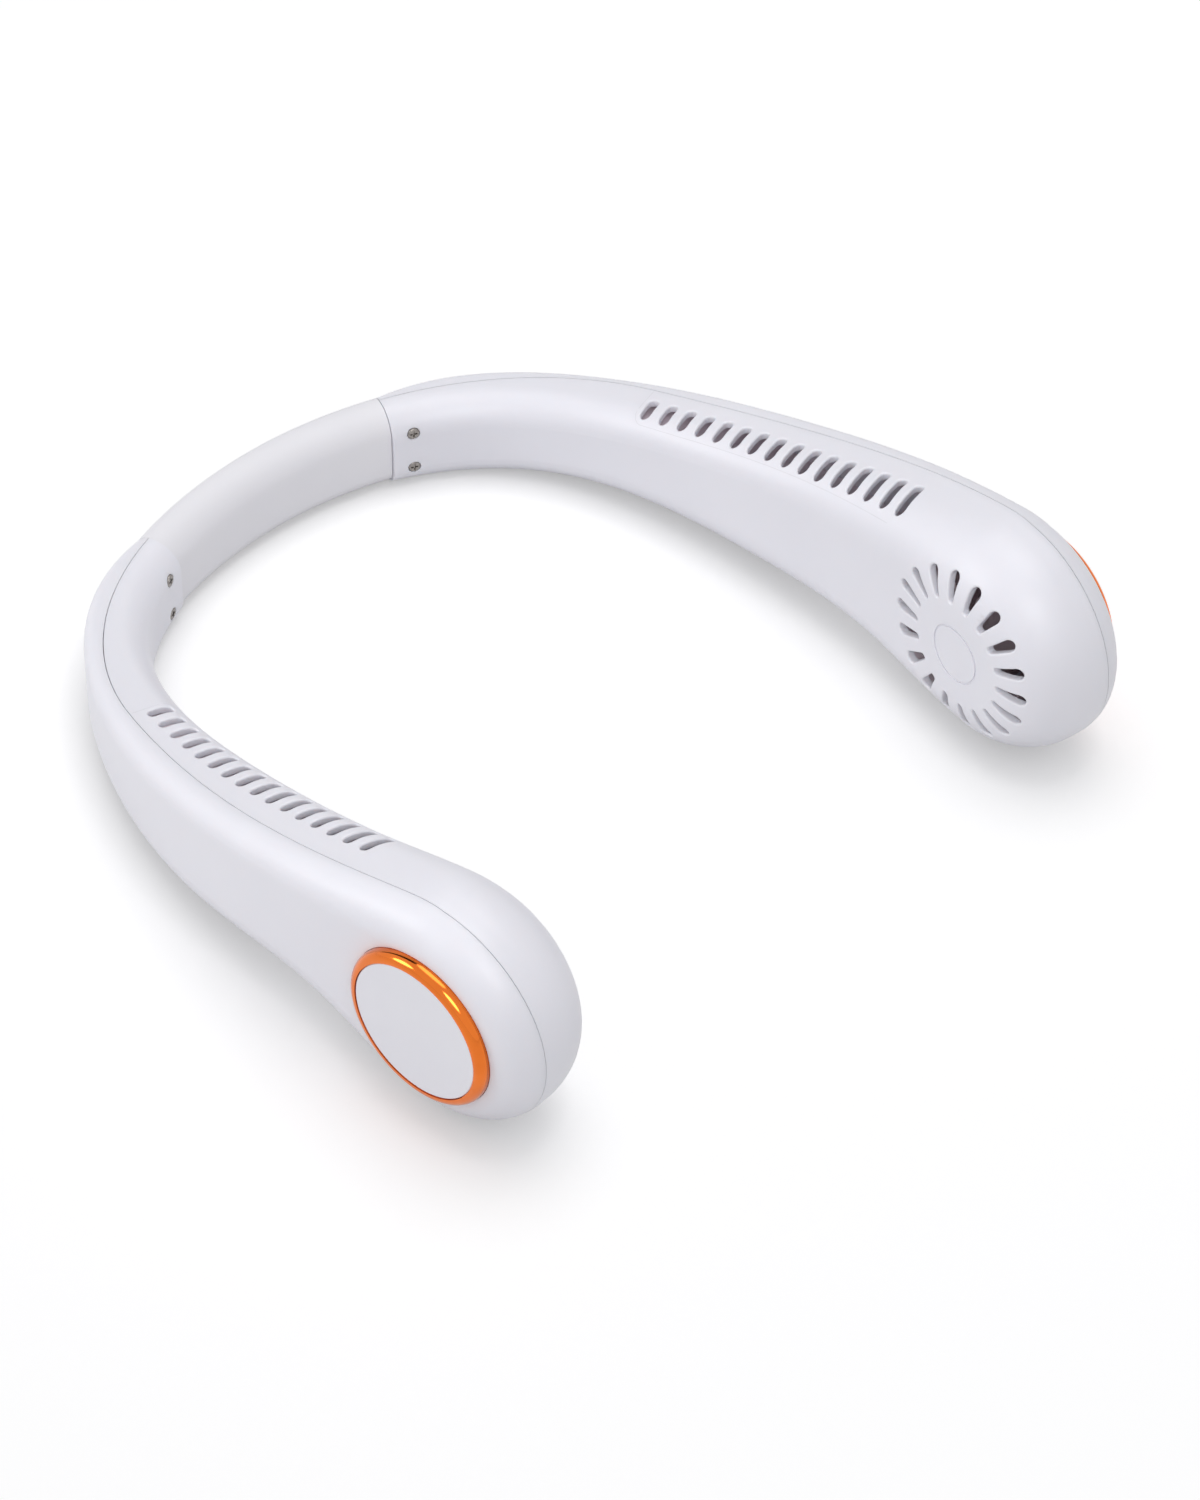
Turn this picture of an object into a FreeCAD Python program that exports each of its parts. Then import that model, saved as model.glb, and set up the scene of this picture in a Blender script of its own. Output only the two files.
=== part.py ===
import FreeCAD, Part
import Sketcher
import math
import os

# Electric neck fan: a soft band joins two hollow arms, each with a centrifugal fan in its round end.
# Frame: millimetres, +Z up, the mirror plane at X = 0, the wearer faces -Y and the left arm is at +X.
# The origin lies on the resting plane, under the middle of the box round the whole object.

Vector = FreeCAD.Vector
UP = Vector(0, 0, 1)
ORIGIN = Vector(0, 0, 0)
ACROSS = Vector(1, 0, 0)

# Driving dimensions, in millimetres, degrees and counts.
DIMENSIONS = {
    # Plan of the seam between the shells, from the middle of the band to the round end.
    "overall_length": 187.1,
    "band_radius": 103.0,
    "band_angle": 18.9,
    "shoulder_radius": 65.5,
    "shoulder_heading": 74.3,
    "run_radius": 256.0,
    "run_heading": 95.1,
    # Cross sections of the arm at its root, beside the band, and at its round end.
    "tip_radius": 26.8,
    "rest_trim": 0.3,
    "root_crown": 20.1,
    "root_outer_depth": 3.4,
    "tip_outer_depth": 7.4,
    "root_inner_depth": 7.9,
    "tip_inner_depth": 19.4,
    "root_outer_round": 4.2,
    "root_lower_outer_round": 5.6,
    "tip_outer_round": 9.6,
    "root_inner_round": 6.5,
    "root_lower_inner_round": 5.3,
    "tip_inner_round": 15.0,
    "belly_rise": 5.0,
    "wall": 1.8,
    "shell_gap": 0.15,
    "fit_gap": 0.1,
    "overrun": 5.0,
    # Band.
    "band_crown": 19.9,
    "band_inner_depth": 6.9,
    "band_outer_round": 3.8,
    "band_inner_round": 6.0,
    "band_lower_outer_round": 5.2,
    "band_lower_inner_round": 4.4,
    "band_end_gap": 0.15,
    "strip_depth": 1.6,
    "strip_thickness": 0.7,
    "strip_height": 9.6,
    "strip_bottom": 7.2,
    "strip_reach": 8.0,
    "cable_radius": 0.9,
    "cable_height": 5.1,
    "anchor_length": 10.0,
    # Two screws that hold the arm to the band.
    "screw_setback": 5.4,
    "screw_spacing": 9.7,
    "screw_middle": 9.95,
    "screw_head_radius": 1.4,
    "screw_head_height": 0.6,
    "screw_shank_radius": 0.75,
    "screw_length": 4.0,
    "screw_recess": 0.8,
    "cross_length": 1.7,
    "cross_width": 0.4,
    "cross_depth": 0.35,
    # Air slots on top of the inner shell.
    "slot_count": 16,
    "slot_settle_count": 10,
    "slot_start": 66.1,
    "slot_pitch": 5.13,
    "slot_width": 2.4,
    "slot_first_setback": 3.2,
    "slot_last_setback": 5.5,
    "slot_first_length": 5.6,
    "slot_last_length": 8.1,
    "slot_first_rake": 2.0,
    "slot_last_rake": 9.0,
    "slot_cut": 9.0,
    # Intake grille of the inner shell.
    "grille_setback": 0.5,
    "petal_count": 18,
    "petal_inner_radius": 13.1,
    "petal_outer_radius": 20.1,
    "petal_inner_width": 1.5,
    "petal_outer_width": 2.7,
    "petal_cut": 7.0,
    "rim_round": 0.4,
    "groove_radius": 6.8,
    "groove_width": 0.5,
    "groove_depth": 0.3,
    # Trim ring and cap on the outer shell.
    "ring_radius": 18.2,
    "ring_height": 2.4,
    "ring_round": 1.9,
    "ring_seat": 0.8,
    "ring_foot_width": 1.5,
    "ledge_radius": 14.6,
    "ledge_height": 0.95,
    "cap_radius": 16.0,
    "cap_recess": 0.15,
    "cap_edge_round": 0.3,
    "cap_skirt_width": 0.8,
    "cap_skirt_height": 0.7,
    # Motor.
    "motor_base_radius": 11.0,
    "motor_base_thickness": 1.6,
    "tube_radius": 2.6,
    "tube_length": 8.2,
    "bearing_radius": 1.7,
    "shaft_radius": 1.0,
    "running_gap": 0.05,
    "stator_core_radius": 3.9,
    "stator_radius": 6.0,
    "stator_height": 5.2,
    "stator_lift": 1.8,
    "tooth_count": 6,
    "tooth_width": 2.2,
    "magnet_radius": 6.5,
    "can_radius": 7.7,
    "can_wall": 0.7,
    "can_height": 9.0,
    "can_lift": 1.4,
    "motor_screw_circle": 8.6,
    "motor_screw_count": 3,
    # Impeller.
    "hub_wall": 0.9,
    "hub_top": 1.2,
    "plate_radius": 18.4,
    "plate_thickness": 1.2,
    "plate_lift": 2.9,
    "blade_count": 22,
    "blade_inner_radius": 12.0,
    "blade_outer_reach": 17.2,
    "blade_sweep": 5.0,
    "blade_thickness": 1.1,
    "blade_bow": 7.5,
    "blade_height": 12.6,
    "inlet_ring_width": 2.2,
    "inlet_ring_thickness": 1.0,
    # Volute wall, air guide and ribs.
    "volute_radius": 21.4,
    "volute_wall": 1.2,
    "volute_start": 12.0,
    "volute_end": 78.0,
    "volute_reach": 2.2,
    "guide_height": 21.6,
    "guide_thickness": 1.2,
    "guide_start": 60.5,
    "rib_thickness": 1.2,
    # Battery cell.
    "cell_radius": 6.7,
    "cell_length": 45.0,
    "cell_setback": 49.7,
    "cell_depth": 5.0,
    "cell_bottom": 7.2,
    "cell_edge": 0.8,
    "cell_nub_radius": 2.6,
    "cell_nub_height": 0.8,
    "cell_rib_spacing": 28.0,
    # Circuit board and the controls under the right arm.
    "board_gap": 3.8,
    "board_length": 28.0,
    "board_height": 12.5,
    "board_thickness": 1.0,
    "board_depth": 7.5,
    "board_clearance": 0.35,
    "board_rib_spacing": 26.0,
    "chip_size": 5.0,
    "chip_height": 1.0,
    "socket_width": 8.9,
    "socket_thickness": 3.2,
    "socket_height": 7.3,
    "socket_bottom": 1.7,
    "socket_wall": 0.35,
    "socket_cavity": 5.8,
    "socket_tongue": 0.7,
    "socket_offset": 7.0,
    "switch_width": 4.6,
    "switch_height": 3.4,
    "switch_offset": 6.5,
    "plunger_radius": 0.9,
    "plunger_length": 0.5,
    "button_radius": 2.5,
    "button_gap": 0.25,
    "button_travel": 0.6,
    "button_face": 0.8,
    "button_flange": 0.8,
    "button_flange_height": 0.8,
    "button_stem_radius": 1.2,
    "button_stem_height": 1.0,
    "button_face_round": 0.4,
    "boss_radius": 4.2,
    "boss_top": 4.6,
    "light_radius": 0.9,
    "light_bottom": 1.35,
}

# How the arm's cross section grows from its root (0) to its round end (1), station by station.
STATION_SHARES = (0.0, 0.22, 0.42, 0.62, 0.81, 0.91, 0.965, 1.0)
CROWN_SHARES = (0.0, 0.07, 0.238, 0.488, 0.774, 0.922, 0.992, 1.0)
OUTER_DEPTH_SHARES = (0.0, 0.2, 0.45, 0.65, 0.8, 0.9, 0.97, 1.0)
INNER_DEPTH_SHARES = (0.0, 0.2, 0.4, 0.635, 0.817, 0.92, 0.977, 1.0)
OUTER_ROUND_SHARES = (0.0, 0.0, 0.08, 0.24, 0.54, 0.8, 0.95, 1.0)
LOWER_OUTER_ROUND_SHARES = (0.0, 0.0, 0.25, 1.175, 1.85, 1.4, 1.125, 1.0)
INNER_ROUND_SHARES = (0.0, 0.0, 0.012, 0.11, 0.51, 0.78, 0.95, 1.0)
LOWER_INNER_ROUND_SHARES = (0.0, 0.092, 0.33, 0.443, 0.34, 0.7, 0.94, 1.0)
BELLY_SHARES = (0.0, 0.096, 0.288, 0.58, 1.0, 0.34, 0.04, 0.0)

# Two corner rounds on one side leave at least this share of the side straight.
FLAT_SHARE = 0.05

# The surface between the stations is a cubic, which runs through them without waves.
LOFT_DEGREE = 3

# Route of each lead from the anchor to the motor: share of the arm, then shares of the tip's inner depth
# (negative towards the neck) and of its diameter.
LEAD_ROUTE_SHARES = (
    (0.15, -0.06, 0.097), (0.24, -0.02, 0.098), (0.34, 0.035, 0.099), (0.45, 0.045, 0.1), (0.57, 0.03, 0.135),
    (0.65, 0.125, 0.195), (0.74, 0.162, 0.275), (0.82, 0.17, 0.295), (0.885, 0.195, 0.3), (0.908, 0.2, 0.375),
    (0.945, 0.205, 0.48),
)
LEAD_BEND_SHARE = 0.45

# Corner round of the charging socket, as a share of its thickness.
SOCKET_ROUND_SHARE = 0.45


class Size:
    """A size with its value and the formula that names it in the sheet."""

    def __init__(self, value, formula):
        self.value = value
        self.formula = formula

    def __add__(self, other):
        return Size(self.value + other.value, f"({self.formula} + {other.formula})")

    def __sub__(self, other):
        return Size(self.value - other.value, f"({self.formula} - {other.formula})")

    def __mul__(self, factor):
        return Size(self.value * factor, f"({self.formula} * {factor})")

    def __truediv__(self, divisor):
        return Size(self.value / divisor, f"({self.formula} / {divisor})")

    def __neg__(self):
        return Size(-self.value, f"(-{self.formula})")


class Dimensions:
    """The sheet of driving dimensions, read as attributes."""

    def __init__(self, document, table):
        self.sheet = document.addObject("Spreadsheet::Sheet", "Dimensions")
        for row, (name, number) in enumerate(table.items(), start=1):
            self.sheet.set(f"A{row}", name)
            self.sheet.set(f"B{row}", str(number))
            self.sheet.setAlias(f"B{row}", name)
        document.recompute()

    def __getattr__(self, name):
        return Size(float(self.sheet.get(name)), f"Dimensions.{name}")


doc = FreeCAD.newDocument("NeckFan")
dim = Dimensions(doc, DIMENSIONS)
ZERO = Size(0.0, "0")
parts = []


def number(name):
    """Value of one driving dimension."""
    return float(dim.sheet.get(name))


def keep(feature, label):
    """Name a finished sub-part and put it on the list of pieces to write."""
    feature.Label = label
    parts.append(feature)
    return feature


# Plan of the seam: three arcs and a straight end, measured by distance from the middle of the band.
class Seam:
    """The line in plan where the two shells of the left arm meet."""

    def __init__(self):
        x, y, heading, travelled = 0.0, number("overall_length") / 2 - number("root_outer_depth"), 0.0, 0.0
        self.arcs = []
        for radius_name, heading_name in (
            ("band_radius", "band_angle"),
            ("shoulder_radius", "shoulder_heading"),
            ("run_radius", "run_heading"),
        ):
            radius, goal = number(radius_name), math.radians(number(heading_name))
            centre = Vector(x - radius * math.sin(heading), y - radius * math.cos(heading), 0)
            self.arcs.append((travelled, radius, heading, centre))
            travelled += radius * (goal - heading)
            heading = goal
            x, y = centre.x + radius * math.sin(heading), centre.y + radius * math.cos(heading)
        self.straight_from = travelled
        self.straight_start = Vector(x, y, 0)
        self.end_heading = heading
        self.junction = self.arcs[1][0]
        # The front of the round end is where its outer corner round faces straight forward.
        corner = number("tip_outer_round")
        front = ((number("tip_radius") - corner) * math.sin(heading)
                 - (number("tip_outer_depth") - corner) * math.cos(heading) + corner)
        tip_y = front - number("overall_length") / 2
        self.length = travelled + (y - tip_y) / math.sin(heading)
        self.arm = self.length - self.junction

    def heading(self, distance):
        if distance >= self.straight_from:
            return self.end_heading
        start, radius, heading, _ = [arc for arc in self.arcs if arc[0] <= max(distance, 0.0)][-1]
        return heading + (distance - start) / radius

    def tangent(self, distance):
        angle = self.heading(distance)
        return Vector(math.cos(angle), -math.sin(angle), 0)

    def normal(self, distance):
        angle = self.heading(distance)
        return Vector(math.sin(angle), math.cos(angle), 0)

    def point(self, distance, out=0.0, height=0.0):
        """Place at a distance along the seam, moved outward and up."""
        if distance >= self.straight_from:
            foot = self.straight_start + self.tangent(distance) * (distance - self.straight_from)
        else:
            _, radius, _, centre = [arc for arc in self.arcs if arc[0] <= max(distance, 0.0)][-1]
            foot = centre + self.normal(distance) * radius
        return foot + self.normal(distance) * out + UP * height

    def edges(self, start, end, out=0.0, height=0.0):
        """Arcs and lines along the seam between two distances."""
        stops = [start] + [a[0] for a in self.arcs[1:] if start < a[0] < end]
        if start < self.straight_from < end:
            stops.append(self.straight_from)
        stops.append(end)
        runs = []
        for first, last in zip(stops, stops[1:]):
            middle = (first + last) / 2
            ends = [self.point(d, out, height) for d in (first, middle, last)]
            straight = first >= self.straight_from
            curve = Part.LineSegment(ends[0], ends[2]) if straight else Part.Arc(*ends)
            runs.append(curve.toShape())
        return runs

    def frame(self, distance, out=0.0, height=0.0):
        """Placement with X along the left arm, Y outward and Z up."""
        turn = FreeCAD.Rotation(UP, -math.degrees(self.heading(distance)))
        return FreeCAD.Placement(self.point(distance, out, height), turn)

    def right_frame(self, distance, out=0.0, height=0.0):
        """The same place on the right arm, with X towards the band, Y outward and Z up."""
        place = self.point(distance, out, height)
        turn = FreeCAD.Rotation(UP, math.degrees(self.heading(distance)))
        return FreeCAD.Placement(Vector(-place.x, place.y, place.z), turn)


seam = Seam()
TIP_HEIGHT = number("tip_radius") - number("rest_trim")
TIP_CENTRE = seam.point(seam.length, 0.0, TIP_HEIGHT)
AXIS = seam.normal(seam.length)
BACKWARD = seam.tangent(seam.length) * -1
TIP_FRAME = FreeCAD.Placement(TIP_CENTRE, FreeCAD.Rotation(BACKWARD, UP, AXIS, "ZXY"))
GRILLE_FRAME = TIP_FRAME.multiply(FreeCAD.Placement(ACROSS * number("grille_setback"), FreeCAD.Rotation()))
FAR = number("overall_length")
OVERRUN = number("overrun")
WALL = number("wall")
FIT = number("fit_gap")


# Cross sections of the arm.
def blend(shares, share):
    """Read a table of shares between its stations."""
    for index in range(len(STATION_SHARES) - 1):
        low, high = STATION_SHARES[index], STATION_SHARES[index + 1]
        if share <= high:
            along = (share - low) / (high - low)
            return shares[index] + (shares[index + 1] - shares[index]) * along
    return shares[-1]


def grown(root_name, tip_name, shares, share):
    """A size that grows from the root of the arm to its round end."""
    root, tip = number(root_name), number(tip_name)
    return root + (tip - root) * blend(shares, share)


def paired(first, second, side):
    """Two corner rounds, held back where their side is too short for both."""
    room = side * (1 - FLAT_SHARE)
    ease = min(1.0, room / (first + second))
    return first * ease, second * ease


class Section:
    """Outline of the arm at one share of its length, inset from the outer form."""

    def __init__(self, share, inset):
        tip_crown = 2 * number("tip_radius") - number("rest_trim")
        root_crown = number("root_crown")
        self.distance = seam.junction + seam.arm * share
        self.top = root_crown + (tip_crown - root_crown) * blend(CROWN_SHARES, share) - inset
        self.bottom = number("belly_rise") * blend(BELLY_SHARES, share) - number("rest_trim") + inset
        self.out = grown("root_outer_depth", "tip_outer_depth", OUTER_DEPTH_SHARES, share) - inset
        self.inn = grown("root_inner_depth", "tip_inner_depth", INNER_DEPTH_SHARES, share) - inset
        outer = grown("root_outer_round", "tip_outer_round", OUTER_ROUND_SHARES, share) - inset
        inner = grown("root_inner_round", "tip_inner_round", INNER_ROUND_SHARES, share) - inset
        low_outer = grown("root_lower_outer_round", "tip_outer_round", LOWER_OUTER_ROUND_SHARES, share)
        low_outer -= inset
        low_inner = grown("root_lower_inner_round", "tip_inner_round", LOWER_INNER_ROUND_SHARES, share)
        low_inner -= inset
        width = self.out + self.inn
        height = self.top - self.bottom
        outer, inner = paired(outer, inner, width)
        low_outer, low_inner = paired(low_outer, low_inner, width)
        self.outer, self.low_outer = paired(outer, low_outer, height)
        self.inner, self.low_inner = paired(inner, low_inner, height)

    def place(self, out, height):
        return seam.point(self.distance, out, height)

    def arc(self, out, height, radius, first, last):
        """Corner arc about a centre, between two angles in degrees."""
        ends = []
        for angle in (first, (first + last) / 2, last):
            turn = math.radians(angle)
            ends.append(self.place(out + radius * math.cos(turn), height + radius * math.sin(turn)))
        return Part.Arc(*ends).toShape()

    def line(self, first, last):
        return Part.LineSegment(self.place(*first), self.place(*last)).toShape()

    def upper_edges(self, foot):
        """Edges from the inner wall at the foot height, over the crown, to the outer wall."""
        inner_out, outer_out = self.inner - self.inn, self.out - self.outer
        return [
            self.line((-self.inn, foot), (-self.inn, self.top - self.inner)),
            self.arc(inner_out, self.top - self.inner, self.inner, 180, 90),
            self.line((inner_out, self.top), (outer_out, self.top)),
            self.arc(outer_out, self.top - self.outer, self.outer, 90, 0),
            self.line((self.out, self.top - self.outer), (self.out, foot)),
        ]

    def wire(self):
        """The whole closed outline."""
        inner_out, outer_out = self.low_inner - self.inn, self.out - self.low_outer
        inner_foot, outer_foot = self.bottom + self.low_inner, self.bottom + self.low_outer
        upper = self.upper_edges(inner_foot)[:4]
        lower = [
            self.line((self.out, self.top - self.outer), (self.out, outer_foot)),
            self.arc(outer_out, outer_foot, self.low_outer, 0, -90),
            self.line((outer_out, self.bottom), (inner_out, self.bottom)),
            self.arc(inner_out, inner_foot, self.low_inner, -90, -180),
        ]
        return Part.Wire(upper + lower)

    def half_turn(self):
        """The round end: the upper half of this section turned half way round the fan axis."""
        upper = self.upper_edges(TIP_HEIGHT)
        base = self.line((self.out, TIP_HEIGHT), (-self.inn, TIP_HEIGHT))
        face = Part.Face(Part.Wire(upper + [base]))
        return face.revolve(TIP_CENTRE, AXIS, 180)


def arm_form(inset, start_share=0.0):
    """Solid of the left arm, inset from its outer surface and starting at a share of its length."""
    shares = [start_share] + list(STATION_SHARES[1:])
    sections = [Section(share, inset) for share in shares]
    loft = Part.makeLoft([section.wire() for section in sections], True, False, False, LOFT_DEGREE)
    return loft.fuse(sections[-1].half_turn())


def box(frame, low, high):
    """Box between two corners in a local frame."""
    size = high - low
    block = Part.makeBox(size.x, size.y, size.z, low)
    block.Placement = frame.multiply(block.Placement)
    return block


def cylinder(frame, radius, low, high, out=0.0, height=0.0):
    """Cylinder along the Z axis of a local frame."""
    rod = Part.makeCylinder(radius, high - low, Vector(out, height, low))
    rod.Placement = frame.multiply(rod.Placement)
    return rod


def side_region(side):
    """Everything on one side of the seam of the left arm: +1 for outside, -1 for the neck side."""
    out = side * number("shell_gap") / 2
    end = seam.length + FAR / 2
    run = seam.edges(0.0, end, out)
    first, last = seam.point(0.0, out), seam.point(end, out)
    if side > 0:
        corners = [last, Vector(last.x + FAR, last.y, 0), Vector(last.x + FAR, first.y + FAR, 0),
                   Vector(first.x, first.y + FAR, 0), first]
    else:
        corners = [last, Vector(first.x, last.y, 0), first]
    closing = [Part.LineSegment(a, b).toShape() for a, b in zip(corners, corners[1:])]
    face = Part.Face(Part.Wire(run + closing))
    face.translate(UP * -OVERRUN)
    return face.extrude(UP * FAR)


def along_seam(start, end, out, low, high, thickness):
    """Upright strip of rectangular section that follows the seam."""
    half = thickness / 2
    near, far = seam.edges(start, end, out - half, low), seam.edges(start, end, out + half, low)
    caps = [Part.LineSegment(seam.point(d, out - half, low), seam.point(d, out + half, low)).toShape()
            for d in (start, end)]
    return Part.Face(Part.Wire(Part.__sortEdges__(near + far + caps))).extrude(UP * (high - low))


def tube_along_seam(start, end, out, height, radius):
    """Round cable that follows the seam at one height."""
    path = Part.Wire(seam.edges(start, end, out, height))
    ring = Part.Wire(Part.makeCircle(radius, seam.point(start, out, height), seam.tangent(start)))
    return path.makePipeShell([ring], True, False)


def bent_tube(points, radius):
    """Round lead along straight runs that are joined by tangent arcs."""
    edges, start = [], points[0]
    for before, corner, after in zip(points, points[1:], points[2:]):
        into, onward = (corner - before), (after - corner)
        turn = into.getAngle(onward)
        cut = LEAD_BEND_SHARE * min(into.Length, onward.Length)
        into.normalize()
        onward.normalize()
        first, last = corner - into * cut, corner + onward * cut
        inward = onward - into
        inward.normalize()
        bend = cut / math.tan(turn / 2)
        middle = corner + inward * (bend / math.cos(turn / 2) - bend)
        edges.append(Part.LineSegment(start, first).toShape())
        edges.append(Part.Arc(first, middle, last).toShape())
        start = last
    edges.append(Part.LineSegment(start, points[-1]).toShape())
    ring = Part.Wire(Part.makeCircle(radius, points[0], points[1] - points[0]))
    return Part.Wire(edges).makePipeShell([ring], True, False)


# Cutters of the inner shell.
def slot_cutters():
    """Upright round-ended cutters for the air slots."""
    count, settle = int(number("slot_count")), number("slot_settle_count")
    half = number("slot_width") / 2
    cutters = []
    for index in range(count):
        along = index / (count - 1)
        settled = min(1.0, index / settle)
        setback = grown_between("slot_first_setback", "slot_last_setback", settled)
        length = grown_between("slot_first_length", "slot_last_length", along)
        rake = math.radians(grown_between("slot_first_rake", "slot_last_rake", along))
        distance = seam.junction + number("slot_start") + number("slot_pitch") * index
        crown = Section((distance - seam.junction) / seam.arm, 0.0).top
        inward = seam.normal(distance) * -math.cos(rake) + seam.tangent(distance) * math.sin(rake)
        side = UP.cross(inward) * half
        first = seam.point(distance, -setback, crown - number("slot_cut")) + inward * half
        last = first + inward * (length - number("slot_width"))
        edges = [
            Part.LineSegment(first + side, last + side).toShape(),
            Part.Arc(last + side, last + inward * half, last - side).toShape(),
            Part.LineSegment(last - side, first - side).toShape(),
            Part.Arc(first - side, first - inward * half, first + side).toShape(),
        ]
        cutters.append(Part.Face(Part.Wire(edges)).extrude(UP * (number("slot_cut") + OVERRUN)))
    return cutters


def grown_between(first_name, last_name, share):
    """A size that grows evenly between two named sizes."""
    first, last = number(first_name), number(last_name)
    return first + (last - first) * share


def petal_cutters():
    """Ring of tear-shaped cutters along the fan axis."""
    small, large = number("petal_inner_width") / 2, number("petal_outer_width") / 2
    near, far = number("petal_inner_radius") + small, number("petal_outer_radius") - large
    lean = math.asin((large - small) / (far - near))
    depth = number("tip_inner_depth")

    def rim(centre, radius, angle):
        return Vector(centre - radius * math.sin(angle), radius * math.cos(angle), -depth - OVERRUN)

    low = Vector(near - small, 0, -depth - OVERRUN)
    high = Vector(far + large, 0, -depth - OVERRUN)
    corners = [rim(near, small, lean), rim(far, large, lean), rim(far, large, math.pi - lean),
               rim(near, small, math.pi - lean)]
    edges = [
        Part.LineSegment(corners[0], corners[1]).toShape(),
        Part.Arc(corners[1], high, corners[2]).toShape(),
        Part.LineSegment(corners[2], corners[3]).toShape(),
        Part.Arc(corners[3], low, corners[0]).toShape(),
    ]
    petal = Part.Face(Part.Wire(edges)).extrude(UP * (number("petal_cut") + OVERRUN))
    cutters = []
    count = int(number("petal_count"))
    for index in range(count):
        turned_petal = petal.copy()
        turn = FreeCAD.Placement(ORIGIN, FreeCAD.Rotation(UP, 360 / count * index))
        turned_petal.Placement = GRILLE_FRAME.multiply(turn)
        cutters.append(turned_petal)
    return cutters


def groove_cutter():
    """Fine ring groove in the middle of the grille, of one depth under the curved face."""
    radius, half = number("groove_radius"), number("groove_width") / 2
    low = -number("tip_inner_depth") - OVERRUN
    core = cylinder(GRILLE_FRAME, radius - half, low, 0.0)
    ring = cylinder(GRILLE_FRAME, radius + half, low, 0.0).cut(core)
    return ring.cut(arm_form(number("groove_depth")))


def eased_rims(shell, form, cutters):
    """Round the outer rims that the cutters leave in a shell of this form."""
    skin = form.Shells[0]
    reach = number("running_gap")
    rims = []
    for edge in shell.Edges:
        middle = edge.valueAt((edge.FirstParameter + edge.LastParameter) / 2)
        spot = Part.Vertex(middle)
        near = [cutter for cutter in cutters if cutter.BoundBox.isInside(middle)]
        cut_here = any(spot.distToShape(cutter)[0] < reach for cutter in near)
        if cut_here and spot.distToShape(skin)[0] < reach:
            rims.append(edge)
    return shell.makeFillet(number("rim_round"), rims)


def screw_frames():
    """Frames of the two band screws of the left arm: Z points into the arm, at the floor of the recess."""
    distance = seam.junction + number("screw_setback")
    face = Section(number("screw_setback") / seam.arm, 0.0).inn
    turn = FreeCAD.Rotation(seam.tangent(distance) * -1, UP, seam.normal(distance), "ZXY")
    half = number("screw_spacing") / 2
    frames = []
    for height in (number("screw_middle") + half, number("screw_middle") - half):
        frames.append(FreeCAD.Placement(seam.point(distance, number("screw_recess") - face, height), turn))
    return frames


def screw_cutters():
    """Recess and clearance hole of each band screw."""
    cutters = []
    for frame in screw_frames():
        cutters.append(cylinder(frame, number("screw_head_radius") + FIT, -OVERRUN, 0.0))
        shank_radius = number("screw_shank_radius") + FIT
        cutters.append(cylinder(frame, shank_radius, -FIT, number("screw_length") + FIT))
    return cutters


def motor_screw_frames():
    """Frames of the motor screws: Z points into the arm, at the outer face under the cap."""
    count = int(number("motor_screw_count"))
    frames = []
    for index in range(count):
        angle = 2 * math.pi * index / count
        place = Vector(number("motor_screw_circle") * math.cos(angle),
                       number("motor_screw_circle") * math.sin(angle), number("tip_outer_depth"))
        flip = FreeCAD.Placement(place, FreeCAD.Rotation(ACROSS, 180))
        frames.append(TIP_FRAME.multiply(flip))
    return frames


# Pieces that several shells make room for. The board stands behind the cell, clear of the pressed button.
CELL_DISTANCE = seam.length - number("cell_setback")
BOARD_DISTANCE = CELL_DISTANCE - number("cell_length") / 2 - number("board_gap") - number("board_length") / 2
BOARD_FOOT = (dim.boss_top + dim.running_gap + dim.button_flange_height + dim.button_travel
              + dim.board_clearance)
STRIP_HIGH = number("strip_bottom") + number("strip_height")
ANCHOR_START = WALL + FIT
ANCHOR_END = ANCHOR_START + number("anchor_length")


def lead_points():
    """Corner points of the lead from the anchor to the motor."""
    depth, height = number("tip_inner_depth"), 2 * number("tip_radius")
    start = seam.junction + ANCHOR_END
    points = [seam.point(start, -number("strip_depth"), number("cable_height"))]
    for share, out, up in LEAD_ROUTE_SHARES:
        points.append(seam.point(seam.junction + seam.arm * share, depth * out, height * up))
    return points


def cell_frame():
    """Frame of the battery cell: Z along the arm, at the middle of the cell."""
    place = seam.point(CELL_DISTANCE, -number("cell_depth"), number("cell_bottom") + number("cell_radius"))
    return FreeCAD.Placement(place, FreeCAD.Rotation(UP, ORIGIN, seam.tangent(CELL_DISTANCE), "ZXY"))


def board_box(frame, clearance):
    """Block in the place of the circuit board."""
    half = number("board_length") / 2 + clearance
    face, foot = -number("board_depth"), BOARD_FOOT.value
    return box(frame, Vector(-half, face - clearance, foot - clearance),
               Vector(half, face + number("board_thickness") + clearance,
                      foot + number("board_height") + clearance))


def rib_solids(middle_form, lead):
    """Ribs across the arm that cradle the cell, the board and the lead."""
    half_cell, half_board = number("cell_rib_spacing") / 2, number("board_rib_spacing") / 2
    half = number("rib_thickness") / 2
    top = number("guide_height") - FIT
    slabs = []
    for distance in (BOARD_DISTANCE - half_board, BOARD_DISTANCE + half_board,
                     CELL_DISTANCE - half_cell, CELL_DISTANCE + half_cell):
        slabs.append(box(seam.frame(distance), Vector(-half, -FAR, -OVERRUN), Vector(half, FAR, top)))
    ribs = middle_form.common(Part.makeCompound(slabs))
    reach = number("cell_length") / 2 + FIT
    room = [
        cylinder(cell_frame(), number("cell_radius") + FIT, -reach, reach),
        board_box(seam.frame(BOARD_DISTANCE), FIT),
        lead,
    ]
    return ribs.cut(room)


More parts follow.
